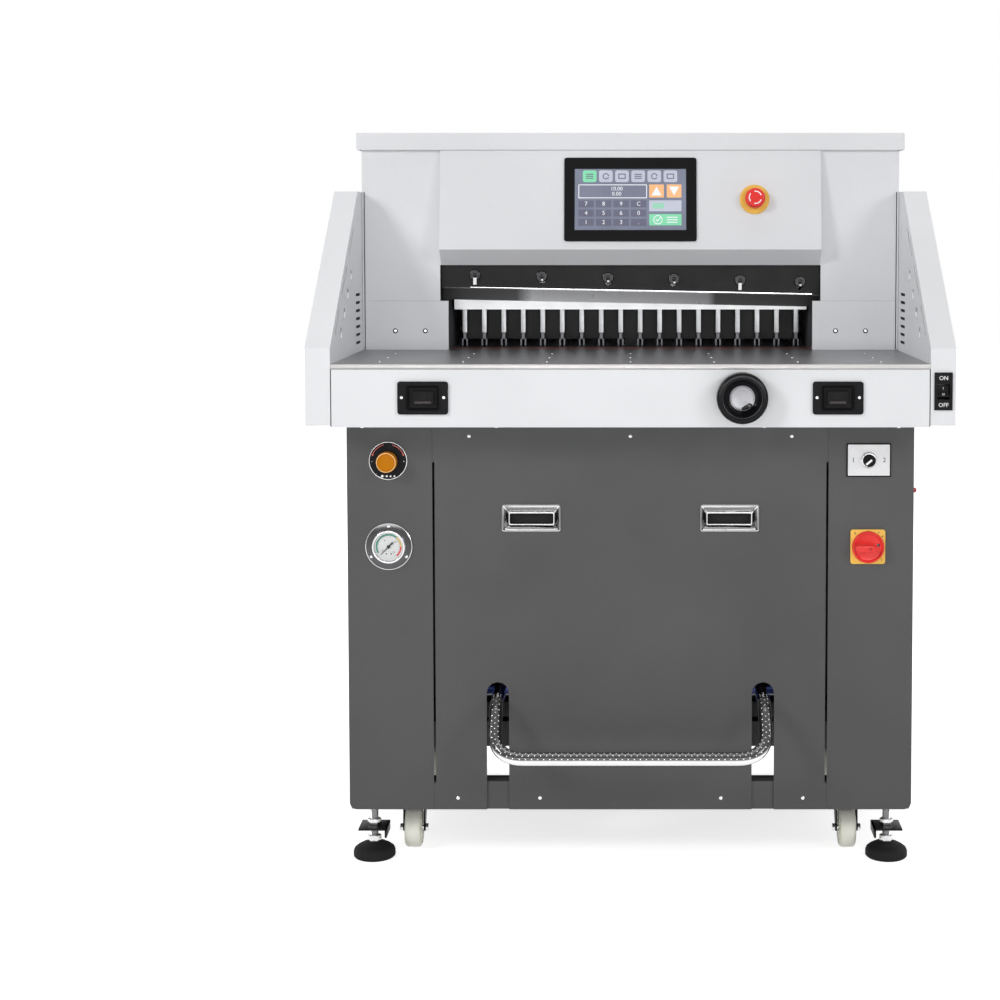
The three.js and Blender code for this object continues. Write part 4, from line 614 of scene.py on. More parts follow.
def pressure_dial():
    place = on_face("pressure_dial_plate")
    radius = size("pressure_dial_plate").x / 2
    top = GAP + DIAL_THICKNESS
    barrel, depth = DIAL_BARREL
    edge = radius - DIAL_RIM
    disc = [(DIAL_BORE, -depth), (barrel, -depth), (barrel, GAP), (edge, GAP), (edge, top), (DIAL_BORE, top)]
    turned_piece("pressure_dial", place, disc, "black_plastic", replaced=["pressure_dial_plate"],
                 rounding=0.3)
    bevel = DIAL_RIM / 2
    ring = [(edge, GAP), (radius, GAP), (radius, top - bevel), (radius - bevel, top), (edge, top)]
    turned_piece("pressure_dial_rim", place, ring, "chrome_painted_highlight", rounding=0.2)
    face = moved(place, out=top)
    arcs, dots = bmesh.new(), bmesh.new()
    track = radius * 0.86
    for start, end in ((155, 105), (75, 25)):
        arc_band(arcs, face, track, 1, start, end)
    arrow_head(arcs, face, track, 156, -4)
    arrow_head(arcs, face, track, 24, 4)
    piece("pressure_dial_arcs", arcs, "pink_print")
    for share, dot in DIAL_DOTS:
        prism(dots, moved(face, share * radius, -0.8 * radius), circle(dot), 0, PRINT)
    piece("pressure_dial_dots", dots, "white_plastic")
    for name, sign, side in (("minus", "-", -1), ("plus", "+", 1)):
        lettering(f"pressure_dial_{name}", sign, moved(face, side * track * 0.96, -1), 4, "white_plastic")


def pressure_knob():
    place = on_face("pressure_knob")
    radius = size("pressure_knob").x / 2
    low, high = GAP * 2 + DIAL_THICKNESS, KNOB_REACH
    stem, depth, waist = DIAL_BORE - GAP, DIAL_BARREL[1], radius * 0.8
    outline = [(0, -depth), (stem, -depth), (stem, low), (waist, low), (waist, low + 5),
               (radius - 1, low + 8), (radius, low + 10)]
    outline += arc((radius - 3, high - 5), 3, 0, 90) + [(radius * 0.3, high), (0, high - 0.3)]
    turned_piece("pressure_knob_body", place, outline, "amber_plastic", "pressure_knob", ["pressure_knob"],
                 0.25)
    # A lighter ring at the knob's front rim: a painted highlight.
    rim = [(radius - 2.3, high - 0.4), (radius - 0.9, high - 1.1), (radius - 0.9, high - 0.5),
           (radius - 2.3, high + 0.1)]
    turned_piece("pressure_knob_highlight_rim", place, rim, "amber_painted_highlight", "pressure_knob")
    ribs = bmesh.new()
    for i in range(KNOB_RIBS):
        spot = moved(place, *polar(radius, 360 * i / KNOB_RIBS))
        prism(ribs, spot, circle(0.5, 8), low + 11, high - 5)
    piece("pressure_knob_ribs", ribs, "amber_plastic", "pressure_knob")


# Pressure gauge

GAUGE_FLANGE = 3
GAUGE_BEZEL = (31, 10.3)
GAUGE_DIAL = (27, 4.3)
GAUGE_CAN = (29, 32)
GAUGE_GLASS = (8.6, 9.2)
GAUGE_PIN = 1.5
GAUGE_ZERO = 211
GAUGE_FULL = -50
GAUGE_TICKS = 30
GAUGE_SCREWS = (38, (90, 210, 330))


def gauge_case():
    place = on_face("gauge_case")
    flange = size("gauge_case").x / 2
    face = GAP + GAUGE_FLANGE
    (bezel, front), (dial, floor), (can, depth) = GAUGE_BEZEL, GAUGE_DIAL, GAUGE_CAN
    outline = [(0, -depth), (can, -depth), (can, GAP), (flange, GAP), (flange, face), (bezel + 1, face),
               (bezel, face + 1), (bezel, front - 1), (bezel - 1, front), (dial + 0.6, front),
               (dial, front - 0.6), (dial, floor), (GAUGE_PIN, floor), (GAUGE_PIN, GAP), (0, GAP)]
    turned_piece("gauge_body", place, outline, "chrome", replaced=["gauge_case"], rounding=0.5)
    # Thin rings in the lighter chrome on the bezel and on the flange's rim: painted highlights.
    ring = [(bezel - 3.4, front - 0.2), (bezel - 0.4, front - 0.9), (bezel - 0.4, front + 0.3),
            (bezel - 3.4, front + 0.3)]
    turned_piece("gauge_bezel_highlight", place, ring, "chrome_painted_highlight", rounding=0.3)
    edge = [(flange - 1.1, face + 0.05), (flange - 0.1, face - 0.9), (flange - 0.1, face + 0.2),
            (flange - 1.1, face + 0.5)]
    turned_piece("gauge_flange_highlight", place, edge, "chrome_painted_highlight")
    radius, turns = GAUGE_SCREWS
    for number, turn in enumerate(turns, start=1):
        dome_screw(f"gauge_screw_{number}", moved(place, *polar(radius, turn), face), 3, 1.8)


def gauge_face():
    place = on_face("gauge_case")
    dial, floor = GAUGE_DIAL
    top = floor + PRINT
    turned_piece("gauge_dial", place, rectangle(GAUGE_PIN, dial - GAP, floor, top), "white_plastic",
                 slot="silver_metal")
    face = moved(place, out=top)
    for name, material, start, end in (("green", "green_print", GAUGE_ZERO, 48),
                                       ("yellow", "yellow_plastic", 48, 0),
                                       ("red", "red_plastic", 0, GAUGE_FULL)):
        bm = bmesh.new()
        arc_band(bm, face, dial * 0.84, 3.2, start, end, steps=48)
        piece(f"gauge_arc_{name}", bm, material, slot="silver_metal")
    ticks, dots = bmesh.new(), bmesh.new()
    turns = [GAUGE_ZERO + (GAUGE_FULL - GAUGE_ZERO) * i / GAUGE_TICKS for i in range(GAUGE_TICKS + 1)]
    for i, turn in enumerate(turns):
        length = 1.8 if i % 5 else 3.2
        spot = rotated(moved(face, *polar(dial * 0.78, turn)), turn)
        prism(ticks, spot, rectangle(-length, 0, -0.14, 0.14), 0, PRINT)
    piece("gauge_ticks", ticks, "black_plastic")
    for i in range(0, GAUGE_TICKS + 1, 10):
        spot = moved(face, *polar(dial * 0.52, turns[i]))
        lettering(f"gauge_number_{i}", str(i // 2), spot, 3.4, "black_plastic")
    for across in (-4.5, 4.5):
        prism(dots, moved(face, across, -0.5 * dial), circle(1.3), 0, PRINT)
    piece("gauge_dots", dots, "black_plastic")
    turned_piece("gauge_glass", place, rectangle(0, dial - GAP, *GAUGE_GLASS), "clear_glass")


def gauge_needle():
    place = on_face("gauge_case")
    low, high = extent("gauge_needle")
    pointer = rotated(place, math.degrees(math.atan2(low.z - high.z, low.x - high.x)))
    floor = GAUGE_DIAL[1] + 2 * GAP
    outline = [(-11, -1.9), (-2, -1.2), (21, -0.4), (21, 0.4), (-2, 1.2), (-11, 1.9)]
    plate_piece("needle_blade", pointer, outline, floor, floor + 0.8, "black_plastic", "gauge_needle",
                ["gauge_needle"], 0.1)
    hub = [(0, GAP), (1.2, GAP), (1.2, floor), (3.4, floor), (3.4, floor + 1.6), (2.4, floor + 2.2),
           (0, floor + 2.3)]
    turned_piece("needle_hub", place, hub, "black_plastic", "gauge_needle", rounding=0.1)


# Selector, isolator and side button

SELECTOR_PLATE = 3
SELECTOR_BORDER = 2.4
SELECTOR_BEZEL = (15, 5)
SELECTOR_STEM = 5
SELECTOR_BARREL = (10, 28)
SELECTOR_TURN = -50
SWITCH_PLATE = 6
SWITCH_STEM = 6
SWITCH_BARREL = (11, 28)


def selector():
    place = on_face("selector_plate")
    width, height = size("selector_plate").xz
    top = GAP + SELECTOR_PLATE
    bezel, rise = SELECTOR_BEZEL
    barrel, depth = SELECTOR_BARREL
    border = 2 * SELECTOR_BORDER
    plate_piece("selector_frame", place, oblong(width, height, 1.5), GAP, top - 0.3, "black_plastic",
                replaced=["selector_plate"], rounding=0.3)
    plate_piece("selector_label", place, oblong(width - border, height - border, 0.8), top - 0.3, top,
                "label_metal")
    bore = SELECTOR_STEM + GAP
    ring = [(bore, -depth), (barrel, -depth), (barrel, top), (bezel, top), (bezel, top + rise * 0.6),
            (bezel - 2, top + rise), (bore, top + rise)]
    turned_piece("selector_bezel", place, ring, "chrome_painted_highlight", rounding=0.3)
    for number, side in ((1, -1), (2, 1)):
        spot = moved(place, side * 29, 0, top)
        lettering(f"selector_number_{number}", str(number), spot, 9, "black_plastic")


def selector_knob():
    node = "selector_knob"
    place = on_face(node)
    radius = size(node).x / 2
    reach = FACE_Y - extent(node)[0].y
    base = GAP * 2 + SELECTOR_PLATE + SELECTOR_BEZEL[1]
    shoulder = base + 6
    stem, depth = SELECTOR_STEM, SELECTOR_BARREL[1]
    disc = [(0, -depth), (stem, -depth), (stem, base), (radius, base), (radius, shoulder - 1.5),
            (radius - 1.5, shoulder), (0, shoulder)]
    turned_piece("selector_knob_disc", place, disc, "black_plastic", node, [node], 0.3)
    pointer = rotated(place, SELECTOR_TURN)
    plate_piece("selector_grip", pointer, oblong(6, 2 * radius - 2, 2.4), shoulder - 1, reach - 0.3,
                "black_plastic", node, rounding=0.7)
    plate_piece("selector_stripe", moved(pointer, 0, -2.6), oblong(3.6, 14, 0.7), reach - 0.5, reach,
                "white_plastic", node)


def main_switch():
    place = on_face("main_switch_plate")
    side = size("main_switch_plate").x
    top = GAP + SWITCH_PLATE
    barrel, depth = SWITCH_BARREL
    plate_piece("switch_plate_body", place, oblong(side, side, 5), GAP, top, "yellow_plastic",
                replaced=["main_switch_plate"], rounding=0.8)
    turned_piece("switch_barrel", place, rectangle(SWITCH_STEM + GAP, barrel, -depth, GAP), "black_plastic")
    dashes = bmesh.new()
    for right, up, turn in ((0, 29.5, 90), (20, 27, 55), (27, 20, 35)):
        prism(dashes, rotated(moved(place, right, up, top), turn), oblong(4.6, 1.1, 0.4), 0, PRINT)
    piece("switch_marks", dashes, "black_plastic")
    for number, right, up in ((0, -24, 25), (1, 25.5, -24.5)):
        lettering(f"switch_number_{number}", str(number), moved(place, right, up, top), 5, "black_plastic")


def main_switch_handle():
    node = "main_switch_handle"
    place = on_face(node)
    radius = size(node).x / 2
    reach = FACE_Y - extent(node)[0].y
    low = GAP * 2 + SWITCH_PLATE
    rim, dish = low + 9, low + 4
    stem, depth = SWITCH_STEM, SWITCH_BARREL[1]
    outline = [(0, -depth), (stem, -depth), (stem, low), (radius, low), (radius, rim - 3),
               (radius - 1.5, rim), (radius - 3.6, rim), (radius - 5, dish), (0, dish - 0.5)]
    turned_piece("switch_handle_disc", place, outline, "red_plastic", node, [node], 0.5)
    left, right = 2 - radius, 13
    length = right - left
    grip = bmesh.new()
    solid(grip, moved(place, (left + right) / 2), [(oblong(length, 15, 6), dish - 1),
                                                   (oblong(length - 4, 12, 5.5), reach)])
    piece("switch_handle_grip", grip, "red_plastic", node, rounding=1.4)
    hole = [(0, -0.1), (2.6, -0.1), (2.6, 0), (1.7, 0), (1.7, -0.08), (0, -0.08)]
    turned_piece("switch_handle_hole", moved(place, 2, 0, reach), hole, "rubber", node, steps=SMALL_STEPS)
    dome_screw("switch_handle_rivet", moved(place, 19, 4, dish - 0.4), 3.2, 2, node, "chrome")


def side_button():
    low, high = extent("side_button")
    face = extent("right_column_cover")[1].x
    at = middle("side_button")
    place = side_plane((face, at.y, at.z))
    radius = (high.z - low.z) / 2
    tip = high.x - face
    outline = [(0, -24), (5, -24), (5, 7), (radius - 1.5, 7), (radius, 8.5)]
    outline += arc((radius - 5, tip - 5), 5, 0, 80)
    outline += [(5, tip), (4.6, tip + 4), (2.5, tip + 6), (0, tip + 6.4)]
    turned_piece("side_button_head", place, outline, "cherry_plastic", "side_button", ["side_button"], 0.3)
    collar = [(5.6, GAP), (11, GAP), (11, 1.2), (10.4, 1.6), (5.6, 1.6)]
    turned_piece("side_button_collar", place, collar, "chrome_painted_highlight")


# Two-hand cut buttons

CUP = (61, 47, 15)
CUP_PLATE = 4
CUP_BACK = -20
CUP_STEPS = 6
CUT_BUTTON = (39, 25)
CUT_STEM = 6


def button_plate(side):
    node = f"{side}_button_plate"
    place = on_face(node, SKIRT_Y)
    width, height = size(node).xz
    top = GAP + CUP_PLATE
    cup_width, cup_height, cup_depth = CUP

    def rim(wider, taller, radius):
        return oblong(cup_width + wider, cup_height + taller, radius, CUP_STEPS)

    outer = oblong(width, height, 5, CUP_STEPS)
    bore = [polar(CUT_STEM + GAP, math.degrees(math.atan2(v, u))) for u, v in outer]
    floor = top - cup_depth * 0.55
    cup, edge = bmesh.new(), bmesh.new()
    solid(cup, place, [(outer, GAP), (outer, top), (rim(0, 0, 4), top), (rim(-12, -10, 3), floor),
                       (bore, floor), (bore, CUP_BACK), (rim(3, 3, 4), CUP_BACK), (rim(3, 3, 4), GAP)],
          closed=True)
    piece(f"{side}_button_cup", cup, "black_plastic", replaced=[node], rounding=0.5)
    window(edge, place, rim(4, 2, 4.5), rim(1, -1, 4), top - GAP, top + 0.7)
    piece(f"{side}_button_rim", edge, "black_plastic", rounding=0.2)
    for label, across in (("left", -1), ("right", 1)):
        dome_screw(f"{side}_button_plate_screw_{label}", moved(place, across * 38.4, 1, top), 3, 1.6)


def cut_button(side):
    node = f"{side}_cut_button"
    place = on_face(node, SKIRT_Y)
    width, height = CUT_BUTTON
    front = SKIRT_Y - extent(node)[0].y
    key, rib = bmesh.new(), bmesh.new()
    prism(key, place, oblong(width, height, 3), front - 8, front - 0.6)
    soften(key, 1)
    prism(key, place, circle(CUT_STEM), -22, front - 7)
    piece(f"{side}_cut_key", key, "black_plastic", node, [node])
    window(rib, moved(place, 0, 3.5), oblong(8, 11, 3), oblong(5.4, 8.4, 2), front - 0.8, front - 0.25)
    piece(f"{side}_cut_key_rib", rib, "gloss_black", node)
    plate_piece(f"{side}_cut_key_strip", moved(place, 0, -8.5), oblong(width - 9, 4.5, 1), front - 0.8,
                front - 0.35, "dark_lens", node)


# Handwheel

WHEEL_DISC = 24
WHEEL_SHAFT = (10, 30)
WHEEL_DISH = 13
GRIP_TURN = -65
GRIP_RADIUS = 17.5


def handwheel():
    node = "handwheel"
    place = on_face(node, SKIRT_Y)
    radius = size(node).x / 2
    front = SKIRT_Y - extent(node)[0].y
    disc = front - WHEEL_DISH
    shaft, depth = WHEEL_SHAFT
    outline = [(0, -depth), (shaft, -depth), (shaft, 3)]
    outline += arc((radius - 4, 7), 4, -90, 0, 4) + arc((radius - 5, front - 5), 5, 0, 90)
    outline += [(radius * 0.81, front), (radius * 0.79, front - 1.2), (radius * 0.75, front - 1.4),
                (radius * 0.70, front - 4), (radius * 0.60, front - 11), (WHEEL_DISC, disc), (0, disc)]
    turned_piece("handwheel_rim", place, outline, "gloss_black", node, [node])
    dish = [(0, disc), (WHEEL_DISC - 0.5, disc), (WHEEL_DISC - 0.5, disc + 2.2), (WHEEL_DISC - 1.5, disc + 3),
            (WHEEL_DISC - 3, disc + 2.2), (WHEEL_DISC - 4, disc + 1.2), (0, disc + 0.8)]
    turned_piece("handwheel_disc", place, dish, "spun_metal", node, rounding=0.2)
    spot = rotated(moved(place, *polar(GRIP_RADIUS, GRIP_TURN), disc + 1.2), GRIP_TURN + 90)
    grip = arc((6.5, 0), 4, -90, 90) + arc((-6.5, 0), 2.6, 90, 270)
    plate_piece("handwheel_grip", spot, grip, 0, 7, "gloss_black", node, rounding=1.8)
    dome_screw("handwheel_grip_pin", moved(spot, 6, 0, 7), 3.2, 1.8, node, "chrome")
    rings = bmesh.new()
    for share in (0.865, 0.775):
        band = rectangle(radius * share - 0.25, radius * share + 0.25, front - 0.8, front)
        turned(rings, moved(place, out=-0.2), band)
    piece("handwheel_rings", rings, "burnished", node)


# Rocker switch

ROCKER_PLATE = 3
ROCKER_TILT = 10
ROCKER_WELL = 28
ROCKER_CUP = (26, 31, 1.5)


def rocker_plate():
    node = "rocker_plate"
    place = on_face(node, SKIRT_Y)
    width, height = size(node).xz
    top = GAP + ROCKER_PLATE
    key = middle("rocker").z - middle(node).z
    mouth = size("rocker").x + 2 * GAP
    label, cup = bmesh.new(), bmesh.new()
    opening = raised(oblong(mouth, ROCKER_WELL, 0.8, 2), key)
    window(label, place, oblong(width, height, 1, 2), opening, GAP, top)
    piece("rocker_label", label, "black_plastic", replaced=[node], rounding=0.3)
    well = moved(place, 0, key)
    window(cup, well, oblong(*ROCKER_CUP), oblong(mouth, ROCKER_WELL, 1), -18, top + 0.3)
    prism(cup, well, oblong(*ROCKER_CUP), -22, -18.2)
    piece("rocker_bezel", cup, "gloss_black", rounding=0.3)
    for text, up in (("ON", 24), ("OFF", -25)):
        lettering(f"rocker_{text.lower()}", text, moved(place, 0, up, top), 7.5, "white_plastic")


def rocker_key():
    place = rotated(front_plane(*middle("rocker")), -ROCKER_TILT, "X")
    half = size("rocker").x / 2
    outline = [(-6.5, -5), (-6.5, 5), (5.2, 10.4), (3.4, 4), (2.9, 0), (3.4, -4), (5.2, -10.4)]
    plate_piece("rocker_key", rotated(place, -90, "Y"), outline, -half, half, "black_plastic", "rocker",
                ["rocker"], 0.5)
    for name, text, way in (("one", "I", 1), ("zero", "O", -1)):
        spot = rotated(moved(place, 0, way * 5.6, 4), way * 17, "X")
        lettering(f"rocker_sign_{name}", text, spot, 4.2, "white_plastic", "rocker", 0.4)


# Emergency stop, on the control hood's sloping face

HOOD_LIP = 1161
HOOD_SETBACK = 32
STOP_X = 250.5
STOP_BASE = 5
STOP_NECK = 7
STOP_HEAD = 15
STOP_STEM = 8
STOP_BARREL = (11, 22)


def hood_plane(x):
    """The hood's sloping face at its middle height."""
    low, high = extent("control_hood")
    foot = Vector((x, low.y, HOOD_LIP))
    head = Vector((x, low.y + HOOD_SETBACK, high.z))
    return plane((foot + head) / 2, X_AXIS, head - foot)


def emergency_stop():
    place = hood_plane(STOP_X)
    radius = size("estop_base").x / 2
    barrel, depth = STOP_BARREL
    top = GAP + STOP_BASE
    bore = STOP_STEM + GAP
    base = [(bore, -depth), (barrel, -depth), (barrel, GAP), (radius, GAP), (radius, GAP + 2.5),
            (radius - 2.5, top), (barrel + 8, top), (barrel + 6, top - 1.5), (bore, top - 2)]
    turned_piece("stop_ring", place, base, "yellow_plastic", replaced=["estop_base"], rounding=0.4)
    head = size("estop_button").x / 2
    low = top + STOP_NECK
    high = low + STOP_HEAD
    outline = [(0, -depth), (STOP_STEM, -depth), (STOP_STEM, low - 3), (head * 0.62, low - 1),
               (head * 0.9, low), (head, low + 1.5)]
    outline += arc((head - 6, high - 6), 6, 0, 75) + [(head * 0.55, high - 0.2), (0, high)]
    turned_piece("stop_head", place, outline, "red_plastic", "estop_button", ["estop_button"], 0.2)
    marks = bmesh.new()
    for start in (20, 140, 260):
        arc_band(marks, moved(place, out=high - 0.9), head * 0.62, 2, start, start + 78, 0.95)
    piece("stop_head_arcs", marks, "white_plastic", "estop_button", slot="red_plastic")


# Touch panel with a generic layout: a row of mode tiles, a size box, number keys and two arrow keys

PANEL_TALL = 171
PANEL_PROUD = 3
PANEL_BODY = 16
SCREEN_SIZE = (225, 125)
SCREEN_RECESS = 1
INK = PRINT / 2
TILE = (16.5, 3.2, 27.6, 23.9)
TILE_PITCH = 32.6
KEY = (7.6, 64.4, 31.2, 14.4)
KEY_PITCH = (35.3, 18.8)
KEY_SIGNS = ("789C", "4560", "123.")
SIGN_NAMES = {"C": "clear", ".": "point"}
TICK = ((-5, 0), (-1, -4.5), (6, 4), (4.6, 5.2), (-1, -1.8), (-3.6, 1.4))


def touch_bezel():
    width = size("touch_panel").x
    top = GAP + PANEL_PROUD
    outer = oblong(width, PANEL_TALL, 5, 4)
    glass_edge = oblong(*SCREEN_SIZE, 1, 4)
    body = oblong(width - PANEL_BODY, PANEL_TALL - PANEL_BODY, 1, 4)
    bm = bmesh.new()
    solid(bm, hood_plane(0), [(body, -PANEL_BODY), (body, GAP), (outer, GAP), (outer, top), (glass_edge, top),
                              (glass_edge, top - SCREEN_RECESS)])
    piece("touch_bezel", bm, "gloss_black", replaced=["touch_panel"], rounding=0.35, slot="screen_plastic")


def ink(bm, place, outline):
    prism(bm, place, outline, 0, INK)


def screen_tile(bm, place, left, top, width, height, radius=1):
    """A flat tile, placed from the screen's upper left corner. Gives the plane on its face."""
    across, tall = SCREEN_SIZE
    spot = moved(place, left + width / 2 - across / 2, tall / 2 - top - height / 2)
    ink(bm, spot, oblong(width, height, radius, 4))
    return moved(spot, out=INK)


def icon(bm, spot, number):
    """Simple signs for the mode tiles: bars, ring and square."""
    if number % 3 == 0:
        for row in (-1, 0, 1):
            ink(bm, moved(spot, 0, row * 4), oblong(15, 2, 0.6))
    elif number % 3 == 1:
        arc_band(bm, spot, 5.5, 2, 0, 340, INK)
    else:
        window(bm, spot, oblong(15, 11, 1.5), oblong(11, 7, 1), 0, INK)


def mode_tiles(face, green):
    tiles, icons = bmesh.new(), bmesh.new()
    left, top, width, height = TILE
    for i in range(6):
        spot = screen_tile(tiles if i else green, face, left + TILE_PITCH * i, top, width, height, 4)
        icon(icons, moved(spot, 0, -0.05), i)
    piece("screen_tiles", tiles, "screen_pale")
    piece("screen_icons", icons, "screen_key")


def number_keys(face):
    keys = bmesh.new()
    left, top, width, height = KEY
    for row, signs in enumerate(KEY_SIGNS):
        for column, sign in enumerate(signs):
            spot = screen_tile(keys, face, left + KEY_PITCH[0] * column, top + KEY_PITCH[1] * row, width,
                               height, 0.8)
            name = SIGN_NAMES.get(sign, sign)
            lettering(f"screen_key_{name}", sign, spot, 8.5, "screen_white", depth=INK)
    piece("screen_keys", keys, "screen_key")


def size_box(face):
    box = bmesh.new()
    spot = moved(face, 76.8 - SCREEN_SIZE[0] / 2, SCREEN_SIZE[1] / 2 - 46)
    window(box, spot, oblong(138.4, 28.1, 1.6), oblong(135.2, 24.9, 0.8), 0, INK)
    piece("screen_size_box", box, "screen_white")
    for name, text, up in (("upper", "10.00", 5.2), ("lower", "0.00", -5.2)):
        lettering(f"screen_value_{name}", text, moved(spot, 8, up), 8, "screen_white", depth=INK)


def arrow_keys(face):
    keys, heads = bmesh.new(), bmesh.new()
    for left, way in ((150.4, 1), (185.7, -1)):
        spot = screen_tile(keys, face, left, 31.9, 29.7, 26.8)
        ink(heads, spot, [(-10, -9 * way), (10, -9 * way), (0, 9 * way)][::way])
    piece("screen_arrow_keys", keys, "screen_orange")
    piece("screen_arrow_heads", heads, "screen_white")


def wide_keys(face, green):
    push, tick = bmesh.new(), bmesh.new()
    spot = screen_tile(push, face, 150.4, 64.4, 65.1, 22.3)
    piece("screen_wide_key", push, "screen_pale")
    for i in range(7):
        ink(green, moved(spot, (i - 3) * 3.4 - 14), oblong(2.4, 11, 0.4))
    spot = screen_tile(green, face, 150.4, 92.5, 65.1, 22.9)
    piece("screen_green_keys", green, "screen_green")
    sign = moved(spot, -15)
    arc_band(tick, sign, 8.5, 1.6, 0, 350, INK, 40)
    ink(tick, sign, TICK)
    for row in (-1, 0, 1):
        ink(tick, moved(spot, 14, row * 5), oblong(22, 1.8, 0.6))
    piece("screen_tick", tick, "screen_white")


def screen_picture():
    place = moved(hood_plane(0), out=GAP + PANEL_PROUD - SCREEN_RECESS + FILM)
    width, height = SCREEN_SIZE
    plate_piece("screen_back", place, oblong(width - 0.4, height - 0.4, 0.8, 4), 0, INK, "screen_blue")
    face = moved(place, out=INK)
    green = bmesh.new()
    mode_tiles(face, green)
    number_keys(face)
    size_box(face)
    arrow_keys(face)
    wide_keys(face, green)


# Flush handles: a flat lip, sloping walls, and a mouth that goes straight in

HANDLE_LIP = 2.5
HANDLE_RIM = 2.2
HANDLE_BEAD = 1.4
HANDLE_MOUTH = (83, 21)
MOUTH_DROP = 3.4
MOUTH_DEPTH = 12
CUP_DEPTH = 26
CUP_WALL = 1.5


def around_mouth(margin, radius):
    width, height = HANDLE_MOUTH
    return raised(oblong(width + 2 * margin, height + 2 * margin, radius), -MOUTH_DROP)


def flush_handle(side):
    node = f"{side}_flush_handle"
    place = on_face(node)
    width, height = size(node).xz
    dish_width, dish_height = width - 2 * HANDLE_RIM, height - 2 * HANDLE_RIM
    top = GAP + HANDLE_LIP
    lip = oblong(width, height, 4)
    dish = oblong(dish_width, dish_height, 2)
    shell = oblong(dish_width + 2 * CUP_WALL, dish_height + 2 * CUP_WALL, 2)
    mouth, cup = around_mouth(0, 1), around_mouth(CUP_WALL, 1)
    lining, edge = around_mouth(-1.5, 0.6), around_mouth(-GAP, 0.8)
    shape, bead, well = bmesh.new(), bmesh.new(), bmesh.new()
    solid(shape, place, [(cup, -CUP_DEPTH), (cup, -MOUTH_DEPTH), (shell, GAP), (lip, GAP), (lip, top),
                         (dish, top), (mouth, -MOUTH_DEPTH), (mouth, CUP_WALL - CUP_DEPTH)])
    piece(f"{side}_handle_dish", shape, "tube_chrome_painted_reflection", replaced=[node], rounding=0.5)
    # A ring in the lighter chrome round the mouth's edge: a painted highlight.
    window(bead, place, around_mouth(HANDLE_BEAD, 3), around_mouth(-0.5, 2), -MOUTH_DEPTH, 2 - MOUTH_DEPTH)
    piece(f"{side}_handle_bead_highlight", bead, "chrome_painted_highlight", rounding=0.6)
    floor = CUP_WALL + GAP - CUP_DEPTH
    window(well, place, edge, lining, floor, -MOUTH_DEPTH - 1)
    prism(well, place, lining, floor, 2 * CUP_WALL - CUP_DEPTH)
    piece(f"{side}_handle_well", well, "rubber")


# Foot pedal: a bent tube with rows of small domes on its upper front

PEDAL_ARM = 250
PEDAL_TUBE = 12.5
PEDAL_SHAFT = (14, 320)
PEDAL_PIVOT = (FACE_Y + 90, 316)
PEDAL_KNEE = (FACE_Y - 38, 316)
PEDAL_BAR = (FACE_Y - 114, 235)
PEDAL_BENDS = (22, 55, 55, 22)
PEDAL_FRONT = Vector((0, -0.75, 0.66))
BEND_STEPS = 12
DIMPLE_PITCH = 5.5
DIMPLE_TURNS = (-30, 0, 30)
DIMPLE = ((1.5, -0.3), (1.3, 0.3), (0.8, 0.5), (0, 0.6))


def bent_route(corners, bends):
    """Points along straight lines whose corners are rounded off."""
    corners = [Vector(corner) for corner in corners]
    points = [corners[0]]
    for i, bend in enumerate(bends, start=1):
        before = corners[i] + (points[-1] - corners[i]).normalized() * bend
        after = corners[i] + (corners[i + 1] - corners[i]).normalized() * bend
        for j in range(BEND_STEPS + 1):
            t = j / BEND_STEPS
            points.append(before * (1 - t) ** 2 + corners[i] * 2 * t * (1 - t) + after * t * t)
    return points + [corners[-1]]


def stations(points, pitch):
    """Places with their directions, evenly spaced along a route."""
    rest = 0.0
    for a, b in zip(points, points[1:]):
        length = (b - a).length
        direction = (b - a) / length
        while rest < length:
            yield a + direction * rest, direction
            rest += pitch
        rest -= length


def pedal():
    arm = [PEDAL_PIVOT, PEDAL_KNEE, PEDAL_BAR]
    corners = [(-PEDAL_ARM, y, z) for y, z in arm] + [(PEDAL_ARM, y, z) for y, z in arm[::-1]]
    route = bent_route(corners, PEDAL_BENDS)
    tube, dimples = bmesh.new(), bmesh.new()
    swept(tube, route, PEDAL_TUBE)
    piece("pedal_tube", tube, "tube_chrome_painted_reflection", "pedal", ["pedal"])
    radius, half = PEDAL_SHAFT
    turned_piece("pedal_shaft", side_plane((0, *PEDAL_PIVOT)), rectangle(0, radius, -half, half),
                 "blue_enamel_painted_reflection", "pedal", rounding=0.8)
    for number, (point, along) in enumerate(stations(route, DIMPLE_PITCH)):
        if point.y > FACE_Y:
            continue
        normal = (PEDAL_FRONT - along * PEDAL_FRONT.dot(along)).normalized()
        for row, turn in enumerate(DIMPLE_TURNS):
            if (row + number) % 2 == 0:
                out = Matrix.Rotation(math.radians(turn), 3, along) @ normal
                turned(dimples, plane(point + out * PEDAL_TUBE, along, out.cross(along)), DIMPLE, 8)
    piece("pedal_dimples", dimples, "chrome_painted_highlight", "pedal")


# Levelling feet

PAD_HEIGHT = 20
CONE_TOP = 30
STUD_RADIUS = 8
THREAD_PITCH = 2
THREAD_DEPTH = 0.7
FOOT_NUT = (13.5, 12)
FOOT_PLATE = (58, 4, 27, 56, 14)


